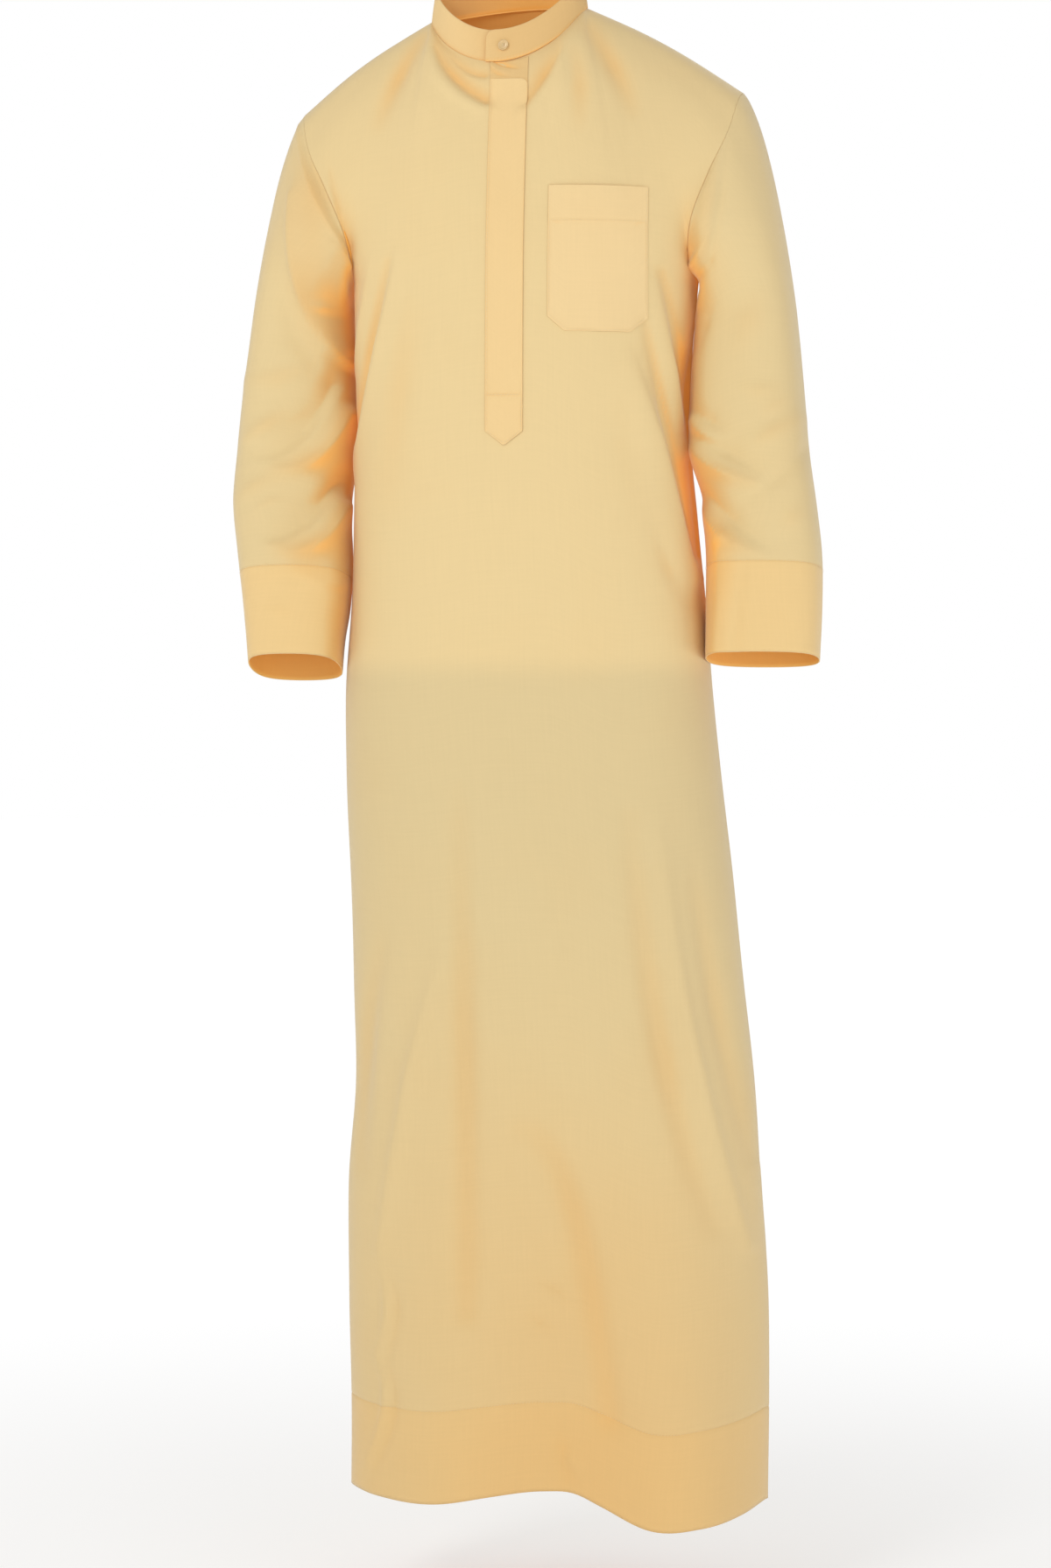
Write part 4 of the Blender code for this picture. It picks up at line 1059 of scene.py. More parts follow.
def collar_at(turn, height, out):
    """A point of the stand collar: height above the seam, out from the middle of its thickness."""
    turn, height, out = np.broadcast_arrays(turn, height, out)
    base = collar_base(turn)
    outward = unit(base[..., :2] - np.array((NECK_SWAY, NECK_FORE)))
    over = 0.5 - smooth_step((turn - 2) / 2)
    soft = 0.0003 * np.sin(turn * 9.0 + 40 * height) * smooth_step(height / 0.01)
    reach = over * COLLAR_LAP_DEPTH - COLLAR_LEAN * height / COLLAR_HEIGHT + out + soft
    place = base.copy()
    place[..., :2] += outward * reach[..., None]
    place[..., 2] += COLLAR_GAP + height
    return place


def collar_ends():
    lap = COLLAR_LAP / NECK_HALF_WIDTH / 2
    return -lap, 4 + lap


def collar_top(turn):
    """The band's height, with the upper corner of each end rounded off."""
    start, end = collar_ends()
    metres = NECK_HALF_WIDTH * math.pi / 2
    drop = 0
    for distance in ((turn - start) * metres, (end - turn) * metres):
        short = np.clip(COLLAR_CORNER - distance, 0, COLLAR_CORNER)
        drop = drop + COLLAR_CORNER - np.sqrt(COLLAR_CORNER**2 - short**2)
    return COLLAR_HEIGHT - drop


def collar_piece(name):
    """The stand as a band of two layers, rounded over at its top and bottom edges."""
    half = bpy.context.scene.thobe_sizes.collar_thickness / 2
    start, end = collar_ends()
    corner = COLLAR_CORNER / NECK_HALF_WIDTH / (math.pi / 2)
    round_corner = corner * (1 - np.cos(np.linspace(0, math.pi / 2, 9)))
    straight = np.linspace(start + corner, end - corner, 250)
    turn = np.unique(np.concatenate((start + round_corner, straight, end - round_corner)).round(9))
    arc = np.linspace(0, math.pi, 7)[1:-1]
    sine, cosine = np.sin(arc) * half, np.cos(arc) * half
    flat = np.linspace(0, 1, 9)
    shares = np.concatenate((flat, np.ones(5), flat[::-1], np.zeros(5)))
    beyond = np.concatenate((0 * flat, sine, 0 * flat, -sine))
    outs = np.concatenate((np.full(9, half), cosine, np.full(9, -half), -cosine))
    top = collar_top(turn)[:, None]
    height = half + shares[None, :] * (top - 2 * half) + beyond[None, :]
    pucker = 1 - 0.35 * bell(height - COLLAR_STITCH, 0.0009) * (shares > 0)
    grid = collar_at(turn[:, None], height, outs[None, :] * pucker)
    rows, columns = grid.shape[:2]
    ends = [list(range(columns))[::-1], list(range((rows - 1) * columns, rows * columns))]
    piece = new_piece(name, grid, grid_faces(rows, columns, closed=True) + ends)
    # painted shade: warmer and darker at the bottom seam, on the inner side and on the wearer's
    # left half, which is also darkened
    shaded = fade(grid[..., 0], -0.075, 0.08)
    marks = {
        "layers": 1.0,
        "warmth": 0.06 + 0.3 * bell(height, 0.0022) + 0.5 * (outs < 0) + 0.32 * shaded,
        "thin": shaded,
    }
    mark_grid(piece.data, grid, marks, closed=True, centred=False)
    return face_outwards(piece)


def border_shares(length, count):
    """Shares along a side with closer ones where the cloth is turned under at each end."""
    near = np.array((0.0, 0.00012, 0.0005, 0.0012, 0.0024)) / length
    inner = np.linspace(0, 1, count)
    inner = inner[(inner > near[-1] * 1.3) & (inner < 1 - near[-1] * 1.3)]
    return np.unique(np.concatenate((near, inner, 1 - near)).round(9))


def laid_piece(name, shape, rise, warmth, counts, open_top=False, thin=0.0):
    """Cloth sewn flat on the front, with turned-under edges.

    shape is its left and right, and functions that give its top and bottom height for each x; rise
    and the painted warm shade are functions of x and height; counts is how many points lie down and
    across; the last argument is painted shade that darkens the whole piece."""
    left, right, top, bottom = shape
    sizes = bpy.context.scene.thobe_sizes
    across = border_shares(right - left, counts[1])[None, :]
    span = float(np.max(top(np.array(left))) - np.min(bottom(np.array((left + right) / 2))))
    down = border_shares(span, counts[0])[::-1, None]
    x = left + (right - left) * across + 0 * down
    high, low = top(x), bottom(x)
    height = high + (low - high) * down
    sides = [x - left, right - x, height - low]
    if not open_top:
        sides.append(high - height)
    edge = np.min(sides, axis=0)
    sunk = 1 - LAID_EDGE_LOSS * np.exp(-edge / LAID_EDGE_WIDTH)
    rounded = np.where(edge < LAID_RIM_WIDTH, LAID_RIM_RISE, sunk)
    here, outward = front_at(x, height)
    grid = here + outward * (LAID_GAP + rise(x, height) * rounded)[..., None]
    marks = {"layers": np.ones(x.shape), "warmth": warmth(x, height), "thin": thin}
    return cloth_object(name, grid, marks, sizes.laid_thickness, sizes.laid_thickness)


def edge_shade(*distances):
    """How much painted shade a laid piece has beside its edges."""
    return sum(np.exp(-distance / LAID_SHADE_WIDTH) for distance in distances)


def placket_piece(name):
    """The placket's strip, which stands a little off and runs to a point."""

    def top(x):
        short = np.clip(PLACKET_CORNER - (PLACKET_RIGHT - x), 0, PLACKET_CORNER)
        return PLACKET_TOP - PLACKET_CORNER + np.sqrt(PLACKET_CORNER**2 - short**2)

    def bottom(x):
        aside = np.abs(x - PLACKET_MIDDLE) / (PLACKET_WIDTH / 2)
        return PLACKET_POINT + (PLACKET_SHOULDER - PLACKET_POINT) * aside

    def rise(x, height):
        aside = (x - PLACKET_LEFT) / PLACKET_WIDTH
        stitch = 0.00028 * bell(height - PLACKET_STITCH, 0.0011)
        below = 0.00042 * bell(height - PLACKET_STITCH + 0.0045, 0.0030)
        wave = 0.00028 * np.sin(height * 61 + 2.2 * np.sin(aside * 3)) * np.sin(math.pi * aside)
        end = 0.0010 * np.exp((height - PLACKET_TOP) / 0.0045)
        return 0.0004 + 0.0008 * aside - stitch + below + wave + end

    # painted shade along the cross stitching and beside both edges
    def warmth(x, height):
        stitch = bell(height - PLACKET_STITCH, LAID_SHADE_WIDTH)
        edge = edge_shade(x - PLACKET_LEFT, PLACKET_RIGHT - x)
        return np.clip(0.05 + 0.12 * stitch + 0.12 * edge, 0, 1)

    shape = (PLACKET_LEFT, PLACKET_RIGHT, top, bottom)
    return laid_piece(name, shape, rise, warmth, counts=(120, 18))


def placket_top_piece(name):
    """The plain top of the placket between the strip and the collar, creased under the button."""
    crease, crest, second = folds_in_mm(
        (-19, -52.5, -7, -59, 8, -62.5, 2.4, 0.6, 1.4, -1.2, -1.6, -0.4),
        (-21.5, -53.5, -14, -62.2, -1, -66.5, 2.6, 0, 1.7, 1.2, 1.6, 0.4),
        (-18, -62, -10, -68, 2, -70, 2.2, 0, 1.6, -0.3, -0.7, 0),
    )

    def top(x):
        seam = (x - NECK_SWAY) / NECK_HALF_WIDTH
        return NECK_RISES[FRONT] * (1 - np.clip(seam, -0.9, 0.9) ** 2) ** 0.75 - 0.0016 + 0 * x

    def bottom(x):
        return PLACKET_TOP - 0.0040 + 0 * x

    def rise(x, height):
        sunk = 0.9 * fold_height((crease, second), x, height)
        return 0.0006 + fold_height((crest,), x, height) + sunk

    # painted shade, warmer and darker, over the head below the collar and most in its creases
    def warmth(x, height):
        deep = np.clip(-fold_height((crease, second), x, height) / 0.0016, 0, 1)
        return np.clip(0.30 + 0.55 * deep, 0, 1)

    shape = (PLACKET_LEFT, PLACKET_RIGHT, top, bottom)
    # painted shade darkens the whole head, below the collar
    return laid_piece(name, shape, rise, warmth, counts=(44, 44), thin=1.0)


def pocket_piece(name):
    """The pocket with its thick band, slack along its open top, and cut corners."""
    band = POCKET_TOP - POCKET_BAND
    wide, high = POCKET_CORNER

    def top(x):
        return POCKET_TOP + 0 * x

    def bottom(x):
        cut = np.clip(POCKET_LEFT + wide - x, 0, wide) + np.clip(x - POCKET_RIGHT + wide, 0, wide)
        return POCKET_BOTTOM + cut / wide * high

    def rise(x, height):
        aside = (x - POCKET_LEFT) / (POCKET_RIGHT - POCKET_LEFT)
        down = (POCKET_TOP - height) / (POCKET_TOP - POCKET_BOTTOM)
        inside = np.sin(math.pi * np.clip(aside, 0, 1))
        thick = 0.0004 + 0.0004 * fade(height - band, -0.0003, 0.0006)
        slack = 0.0010 * inside * np.exp(-down * 2.2)
        seam = 0.0002 * bell(height - band, 0.0009)
        wave = 0.0003 * np.sin(aside * 11 + height * 35) * inside
        return thick + slack - seam + wave * fade(down, 0, 0.3)

    # painted shade along the band's seam and beside the left and bottom edges
    def warmth(x, height):
        line = bell(height - band + 0.0006, 0.0009)
        edge = edge_shade(x - POCKET_LEFT, height - bottom(x))
        return np.clip(0.03 + 0.12 * line + 0.04 * edge, 0, 1)

    shape = (POCKET_LEFT, POCKET_RIGHT, top, bottom)
    return laid_piece(name, shape, rise, warmth, counts=(46, 30), open_top=True)


def button_frame():
    """Where the collar button sits, and the directions across it, up it and out of it."""
    turn = np.array((BUTTON_TURN, BUTTON_TURN + 0.01, BUTTON_TURN))
    height = np.array((BUTTON_HEIGHT, BUTTON_HEIGHT, BUTTON_HEIGHT + 0.002))
    here, beside, above = collar_at(turn, height, 0.0)
    across, up = unit(beside - here), unit(above - here)
    return here, across, up, unit(np.cross(across, up))


def set_on_collar(piece, off):
    """Moves a mesh made flat round the origin, facing up, to the button's place on the collar."""
    here, across, up, out = button_frame()
    seat = here + out * (bpy.context.scene.thobe_sizes.collar_thickness / 2 + off)
    flat = np.empty(len(piece.data.vertices) * 3)
    piece.data.vertices.foreach_get("co", flat)
    placed = seat + flat.reshape(-1, 3) @ np.array((across, up, out))
    piece.data.vertices.foreach_set("co", placed.astype(np.float32).ravel())
    piece.data.update()


def button_piece(name):
    """A round button turned with a raised rim, a dished middle and four holes."""
    sizes = bpy.context.scene.thobe_sizes
    radius, thickness = sizes.button_radius, sizes.button_thickness
    bpy.ops.object.select_all(action="DESELECT")
    bpy.ops.mesh.primitive_cylinder_add(
        vertices=40, radius=radius, depth=thickness, end_fill_type="NGON",
        location=(0, 0, thickness / 2),
    )
    piece = bpy.context.object
    piece.name = piece.data.name = name
    bpy.ops.object.mode_set(mode="EDIT")
    build = bmesh.from_edit_mesh(piece.data)
    for face in build.faces:
        face.select_set(face.normal.z > 0.9)
    bmesh.update_edit_mesh(piece.data)
    for inset, sink in ((0.0008, 0.0), (0.0005, -0.00055), (0.0010, -0.00015)):
        bpy.ops.mesh.inset(thickness=inset, depth=0)
        bpy.ops.transform.translate(value=(0, 0, sink))
    bpy.ops.mesh.select_all(action="DESELECT")
    bpy.ops.object.mode_set(mode="OBJECT")
    bpy.ops.object.transform_apply(location=True, rotation=True, scale=True)
    rounded = piece.modifiers.new("Rounded", "BEVEL")
    rounded.width = 0.00028
    rounded.segments = 3
    rounded.limit_method = "ANGLE"
    rounded.angle_limit = math.radians(25)
    apply_modifiers(piece)
    for x, y in ((-1, -1), (-1, 1), (1, -1), (1, 1)):
        place = (x * BUTTON_HOLE_PLACE, y * BUTTON_HOLE_PLACE, 0)
        bpy.ops.mesh.primitive_cylinder_add(
            vertices=16, radius=BUTTON_HOLE_RADIUS, depth=0.01, location=place
        )
        drill = bpy.context.object
        cut = piece.modifiers.new("Hole", "BOOLEAN")
        cut.operation = "DIFFERENCE"
        cut.solver = "EXACT"
        cut.object = drill
        apply_modifiers(piece)
        bpy.data.objects.remove(drill, do_unlink=True)
    select_only(piece)
    bpy.ops.object.shade_smooth_by_angle(angle=math.radians(35))
    set_on_collar(piece, 0.0004)
    return piece


# --- sewing ---------------------------------------------------------------------------------------


def one_stitch():
    """The shape of one stitch, a metre long and across, which seams repeat in their own size."""
    bpy.ops.object.select_all(action="DESELECT")
    bpy.ops.mesh.primitive_uv_sphere_add(segments=6, ring_count=4, radius=0.5, location=(0, 0, 0))
    made = bpy.context.object
    shape = np.array([tuple(v.co) for v in made.data.vertices])[:, (2, 0, 1)]
    faces = [tuple(face.vertices) for face in made.data.polygons]
    bpy.data.objects.remove(made, do_unlink=True)
    return shape, faces


def seam_marks(line, outward, length, gap):
    """The middle, direction and outward of each stitch along a line of points."""
    walked = np.concatenate(((0,), np.cumsum(np.linalg.norm(np.diff(line, axis=0), axis=-1))))
    middles = np.arange(length, walked[-1] - length / 2, length + gap)

    def at(values, place):
        return np.stack([np.interp(place, walked, values[:, i]) for i in range(3)], axis=-1)

    ahead = unit(at(line, middles + length / 2) - at(line, middles - length / 2))
    return at(line, middles), ahead, unit(at(outward, middles))


def sewn_piece(name, runs):
    """All the stitches of some seams as one piece; each run is a line of points and its outward."""
    sizes = bpy.context.scene.thobe_sizes
    shape, faces = one_stitch()
    verts, polygons = [], []
    count = 0
    for line, outward in runs:
        middles, ahead, out = seam_marks(line, outward, sizes.stitch_length, sizes.stitch_gap)
        aside = unit(np.cross(out, ahead))
        out = np.cross(ahead, aside)
        scaled = shape * (sizes.stitch_length, sizes.thread, sizes.thread * 0.8)
        for i in range(len(middles)):
            lean = (ahead[i] + aside[i] * STITCH_SLANT, aside[i] - ahead[i] * STITCH_SLANT)
            axes = np.array((*lean, out[i]))
            verts.append(middles[i] + scaled @ axes)
            polygons.extend(tuple(v + count for v in face) for face in faces)
            count += len(shape)
    return face_outwards(new_piece(name, np.concatenate(verts), polygons))


def on_laid(corners, off):
    """A line of straight runs on the front from corner to corner, given as x and height."""
    runs = []
    for (x0, z0), (x1, z1) in zip(corners, corners[1:]):
        count = max(4, int(math.hypot(x1 - x0, z1 - z0) / 0.004))
        t = np.linspace(0, 1, count)
        here, outward = front_at(x0 + (x1 - x0) * t, z0 + (z1 - z0) * t)
        runs.append((here + outward * off, outward))
    return runs


def on_collar(height, off):
    start, end = collar_ends()
    turn = np.linspace(start + 0.02, end - 0.14, 300)
    half = bpy.context.scene.thobe_sizes.collar_thickness / 2
    here = collar_at(turn, height, half + off)
    return here, unit(here - collar_at(turn, height, 0.0))


def placket_stitch_lines():
    left, right = PLACKET_LEFT + STITCH_INSET, PLACKET_RIGHT - STITCH_INSET
    shoulder = PLACKET_SHOULDER + STITCH_INSET * 0.4
    point = (PLACKET_MIDDLE, PLACKET_POINT + STITCH_INSET * 1.5)
    top = (left, PLACKET_TOP - STITCH_INSET)
    across = ((left, PLACKET_STITCH), (right, PLACKET_STITCH))
    around = (top, (left, shoulder), point, (right, shoulder), across[1])
    return on_laid(around, 0.0022) + on_laid(across, 0.0017)


def pocket_stitch_lines():
    wide, high = POCKET_CORNER
    left, right = POCKET_LEFT + STITCH_INSET, POCKET_RIGHT - STITCH_INSET
    top, low = POCKET_TOP - STITCH_INSET, POCKET_BOTTOM + STITCH_INSET
    around = (
        (left, top), (left, low + high), (left + wide, low),
        (right - wide, low), (right, low + high), (right, top),
    )
    band = POCKET_TOP - POCKET_BAND + 0.0014
    return on_laid(around, 0.0013) + on_laid(((left, band), (right, band)), 0.0028)


# --- finishes -------------------------------------------------------------------------------------


def feed(tree, node, inputs):
    """Sets a node's inputs, each to a value or from another node's output."""
    for socket, value in inputs.items():
        if isinstance(value, bpy.types.NodeSocket):
            tree.links.new(value, node.inputs[socket])
        else:
            node.inputs[socket].default_value = value


def put(tree, kind, inputs, **settings):
    made = tree.nodes.new(kind)
    for key, value in settings.items():
        setattr(made, key, value)
    feed(tree, made, inputs)
    return made


def sums(tree, operation, a, b=0.5, clamp=False):
    made = put(tree, "ShaderNodeMath", {0: a, 1: b}, operation=operation, use_clamp=clamp)
    return made.outputs[0]


def product(tree, a, b):
    return sums(tree, "MULTIPLY", a, b)


def stretched(tree, place, scale):
    made = put(tree, "ShaderNodeVectorMath", {0: place, 1: scale}, operation="MULTIPLY")
    return made.outputs[0]


def noise(tree, place, scale, detail=2.0, **others):
    """The value of a noise texture at a place."""
    others = {title.capitalize(): value for title, value in others.items()}
    inputs = {"Vector": place, "Scale": scale, "Detail": detail, **others}
    return put(tree, "ShaderNodeTexNoise", inputs).outputs[0]


def blend_colours(tree, share, a, b, kind="MIX"):
    inputs = {0: share, 6: a, 7: b}
    return put(tree, "ShaderNodeMix", inputs, data_type="RGBA", blend_type=kind).outputs[2]


def smooth_range(tree, value, start, end):
    inputs = {"Value": value, "From Min": start, "From Max": end}
    made = put(tree, "ShaderNodeMapRange", inputs, interpolation_type="SMOOTHSTEP")
    return made.outputs[0]


def new_group(name, inputs, outputs):
    old = bpy.data.node_groups.get(name)
    if old is not None:
        return old, None, None
    tree = bpy.data.node_groups.new(name, "ShaderNodeTree")
    for title, kind, value in inputs:
        socket = tree.interface.new_socket(title, in_out="INPUT", socket_type=kind)
        if value is not None:
            socket.default_value = value
    for title, kind in outputs:
        tree.interface.new_socket(title, in_out="OUTPUT", socket_type=kind)
    return tree, tree.nodes.new("NodeGroupInput"), tree.nodes.new("NodeGroupOutput")


def weave_group():
    """Plain weave: uneven threads over and under each other, as a height in metres."""
    tree, given, made = new_group(
        "Plain weave",
        (
            ("Cut", "NodeSocketVector", None),
            ("Pitch", "NodeSocketFloat", 0.0006),
            ("Depth", "NodeSocketFloat", 0.00006),
        ),
        (("Height", "NodeSocketFloat"), ("Slub", "NodeSocketFloat")),
    )
    if given is None:
        return tree
    cut = given.outputs["Cut"]
    apart = put(tree, "ShaderNodeSeparateXYZ", {0: cut})
    waves = []
    for axis in (0, 1):
        threads = sums(tree, "DIVIDE", apart.outputs[axis], given.outputs["Pitch"])
        waves.append(sums(tree, "SINE", product(tree, threads, math.pi), 0.0))
    over = sums(tree, "GREATER_THAN", product(tree, *waves), 0.0)
    warp, weft = (sums(tree, "ABSOLUTE", wave, 0.0) for wave in waves)
    thread = put(tree, "ShaderNodeMix", {0: over, 2: weft, 3: warp}).outputs[0]
    slubs = [
        noise(tree, stretched(tree, cut, scale), 1.0)
        for scale in ((420.0, 18.0, 1.0), (18.0, 420.0, 1.0))
    ]
    slub = product(tree, sums(tree, "ADD", *slubs), 0.5)
    uneven = sums(tree, "ADD", product(tree, slub, 0.45), product(tree, thread, 0.8))
    height = product(tree, uneven, given.outputs["Depth"])
    feed(tree, made, {"Height": height, "Slub": slub})
    return tree


def tone_group():
    """The cloth's colour, paler in one layer, warmer in two and faintly mottled, with painted shade
    and glow.
    """
    tree, given, made = new_group(
        "Cloth tone",
        (
            ("Place", "NodeSocketVector", None),
            ("One layer", "NodeSocketColor", (0.8, 0.6, 0.3, 1)),
            ("Two layers", "NodeSocketColor", (0.8, 0.6, 0.3, 1)),
            ("Warm", "NodeSocketColor", (0.8, 0.4, 0.1, 1)),
            ("Layers", "NodeSocketFloat", 0.0),
            ("Warmth", "NodeSocketFloat", 0.0),
            ("Thin", "NodeSocketFloat", 0.0),
            ("Slub", "NodeSocketFloat", 0.5),
        ),
        (("Colour", "NodeSocketColor"), ("Glow", "NodeSocketColor")),
    )
    if given is None:
        return tree
    value = given.outputs
    mottle = noise(tree, value["Place"], 7.0, 3.0, roughness=0.55)
    base = blend_colours(tree, value["Layers"], value["One layer"], value["Two layers"])
    shift = product(tree, sums(tree, "SUBTRACT", mottle, 0.5), 0.16)
    # painted warm shade, made uneven by the mottle
    warmth = sums(tree, "ADD", value["Warmth"], shift, clamp=True)
    warm_shaded = blend_colours(tree, warmth, base, value["Warm"])
    grain = product(tree, sums(tree, "SUBTRACT", value["Slub"], 0.5), 0.07)
    grain = sums(tree, "ADD", grain, 1.0)
    shade = put(tree, "ShaderNodeCombineColor", {0: grain, 1: grain, 2: grain}).outputs[0]
    # painted shade: a darker tint where the cloth is marked for it
    dimmed = blend_colours(tree, value["Thin"], (1, 1, 1, 1), PAINTED_SHADE_TINT)
    shade = blend_colours(tree, 1.0, dimmed, shade, "MULTIPLY")
    # painted glow: emission for light that comes through the cloth where it lies close to other
    # cloth
    painted_glow_share = smooth_range(tree, value["Warmth"], 0.35, 0.9)
    feed(tree, made, {
        "Colour": blend_colours(tree, 1.0, warm_shaded, shade, "MULTIPLY"),
        "Glow": blend_colours(tree, painted_glow_share, (0, 0, 0, 1), PAINTED_THROUGH_GLOW),
    })
    return tree


def crinkle_group():
    """Fine creases that ironing leaves in a thin cloth, as a height in metres."""
    tree, given, made = new_group(
        "Fine creases",
        (("Place", "NodeSocketVector", None), ("Depth", "NodeSocketFloat", 0.0003)),
        (("Height", "NodeSocketFloat"),),
    )
    if given is None:
        return tree
    place = stretched(tree, given.outputs["Place"], (1.0, 1.0, 0.55))
    broad = noise(tree, place, 24.0, distortion=0.6)
    both = sums(tree, "ADD", broad, product(tree, noise(tree, place, 85.0), 0.22))
    feed(tree, made, {"Height": product(tree, both, given.outputs["Depth"])})
    return tree


def new_material(name):
    old = bpy.data.materials.get(name)
    if old is not None:
        return old, None
    made = bpy.data.materials.new(name)
    made.use_nodes = True
    return made, made.node_tree.nodes["Principled BSDF"]


def object_place(tree):
    return tree.nodes.new("ShaderNodeTexCoord").outputs["Object"]


def between_shades(tree, share, colour, darker):
    """From a darker shade of a colour to the colour itself."""
    dark = tuple(c * darker for c in colour)
    return blend_colours(tree, share, (*dark, 1), (*colour, 1))


def cloth_material(name, one, two, sheen, crinkle=PLAIN_CRINKLE, glow=0.17):
    """The thobe's cloth: matt, with a plain weave and a faint pale sheen at grazing angles."""
    made, shader = new_material(name)
    if shader is None:
        return made
    pitch = bpy.context.scene.thobe_sizes.weave_pitch
    tree = made.node_tree
    place = object_place(tree)
    cut = put(tree, "ShaderNodeUVMap", {}, uv_map="Cut").outputs[0]
    # the marks of painted warm shade and painted shade
    layers, warmth, thin = (
        put(tree, "ShaderNodeAttribute", {}, attribute_name=key).outputs["Fac"]
        for key in ("layers", "warmth", "thin")
    )
    weave = put(
        tree, "ShaderNodeGroup", {"Cut": cut, "Pitch": pitch, "Depth": pitch * WEAVE_DEPTH},
        node_tree=weave_group(),
    )
    crease = put(
        tree, "ShaderNodeGroup", {"Place": place, "Depth": crinkle}, node_tree=crinkle_group()
    )
    tone = put(tree, "ShaderNodeGroup", {
        "Place": place, "Layers": layers, "Warmth": warmth, "Thin": thin,
        "Slub": weave.outputs["Slub"],
        "One layer": (*one, 1), "Two layers": (*two, 1),
        "Warm": (*bpy.context.scene.thobe_colours.warm, 1),
    }, node_tree=tone_group())
    height = sums(tree, "ADD", weave.outputs["Height"], crease.outputs["Height"])
    bump = put(tree, "ShaderNodeBump", {"Strength": 0.75, "Distance": 1.0, "Height": height})
    # painted shade in the base colour, and a painted glow as emission
    feed(tree, shader, {
        "Base Color": tone.outputs["Colour"],
        "Emission Color": tone.outputs["Glow"],
        "Emission Strength": glow,
        "Normal": bump.outputs["Normal"],
        "Roughness": 0.80,
        "Specular IOR Level": 0.22,
        "Sheen Weight": sheen,
        "Sheen Roughness": 0.34,
        "Sheen Tint": (1.0, 0.95, 0.86, 1),
    })
    return made


def outer_cloth():
    c = bpy.context.scene.thobe_colours
    return cloth_material("Cotton outside", c.one_layer, c.two_layers, 0.60)


def inner_cloth():
    c = bpy.context.scene.thobe_colours
    # painted bounce light: the inner side is painted warmer than the outside and glows faintly
    made = cloth_material("Cotton inside", c.inside, c.inside, 0.05, glow=0.07)
    glow = made.node_tree.nodes["Principled BSDF"].inputs["Emission Color"]
    for link in list(glow.links):
        made.node_tree.links.remove(link)
    glow.default_value = PAINTED_INSIDE_GLOW
    return made


def pressed_cloth():
    """The band and the placket: the same cloth in two layers, pressed flatter."""
    c = bpy.context.scene.thobe_colours
    return cloth_material("Cotton in two layers", c.one_layer, c.pressed, 0.24, PRESSED_CRINKLE)


def pocket_cloth():
    c = bpy.context.scene.thobe_colours
    return cloth_material("Cotton of the pocket", c.one_layer, c.pocket, 0.24, PRESSED_CRINKLE)


def thread_material():
    made, shader = new_material("Sewing thread")
    if shader is None:
        return made
    tree = made.node_tree
    twist = noise(tree, object_place(tree), 2600.0, 1.0)
    bump = put(tree, "ShaderNodeBump", {"Strength": 0.6, "Distance": 0.00008, "Height": twist})
    feed(tree, shader, {
        "Base Color": between_shades(tree, twist, bpy.context.scene.thobe_colours.thread, 0.86),
        "Normal": bump.outputs["Normal"],
        "Roughness": 0.55,
        "Sheen Weight": 0.15,
    })
    return made


def button_material():
    made, shader = new_material("Button resin")
    if shader is None:
        return made
    tree = made.node_tree
    cloudy = noise(tree, object_place(tree), 420.0, 3.0, distortion=1.2)
    worn = put(tree, "ShaderNodeMapRange", {"Value": cloudy, "To Min": 0.24, "To Max": 0.40})
    feed(tree, shader, {
        "Base Color": between_shades(tree, cloudy, bpy.context.scene.thobe_colours.button, 0.84),
        "Roughness": worn.outputs[0],
        "Coat Weight": 0.25,
        "Coat Roughness": 0.15,
    })
    return made


# --- sizes and colours that a user may change -----------------------------------------------------


def length(name, description, default, least, most):
    return bpy.props.FloatProperty(
        name=name, description=description, default=default, min=least, max=most,
        unit="LENGTH", precision=5,
    )


def light_power(name, description, default):
    return bpy.props.FloatProperty(
        name=name, description=description, default=default, min=0, max=2000, unit="POWER"
    )


def colour(name, description, default):
    return bpy.props.FloatVectorProperty(
        name=name, description=description, default=default, min=0, max=1, size=3, subtype="COLOR"
    )


class ThobeSizes(bpy.types.PropertyGroup):
    """Sizes of the cloth and its sewing."""

    grid_step: length("Grid step", "How far apart the cloth's points are", 0.0045, 0.003, 0.02)
    cloth_thickness: length("Cloth", "Thickness of one layer of cloth", 0.00045, 0.0002, 0.001)
    doubled_thickness: length("Doubled cloth", "Thickness of hem and cuffs", 0.0010, 0.0004, 0.002)
    laid_thickness: length("Laid cloth", "Thickness of placket and pocket", 0.00036, 0.0002, 0.001)
    collar_thickness: length("Collar", "Thickness of the stand collar", 0.0018, 0.001, 0.003)
    hem_depth: length("Hem", "Depth of the turned-up hem", 0.090, 0.02, 0.15)
    cuff_depth: length("Cuffs", "Depth of the cuffs", 0.088, 0.02, 0.12)
    seam_groove: length("Seam groove", "How deep hem and cuff seams sink in", 0.0006, 0.0, 0.001)
    ripple: length("Unevenness", "How uneven the cloth is between its folds", 0.0011, 0.0, 0.004)
    weave_pitch: length("Weave pitch", "Distance from thread to thread", 0.00042, 0.0002, 0.002)
    stitch_length: length("Stitch", "Length of a stitch", 0.0024, 0.001, 0.005)
    stitch_gap: length("Stitch gap", "Gap between stitches", 0.0007, 0.0002, 0.003)
    thread: length("Thread", "Thickness of the sewing thread", 0.00042, 0.0002, 0.001)
    button_radius: length("Button radius", "Radius of the collar button", 0.0050, 0.003, 0.009)
    button_thickness: length("Button thickness", "Thickness of the button", 0.0022, 0.001, 0.004)


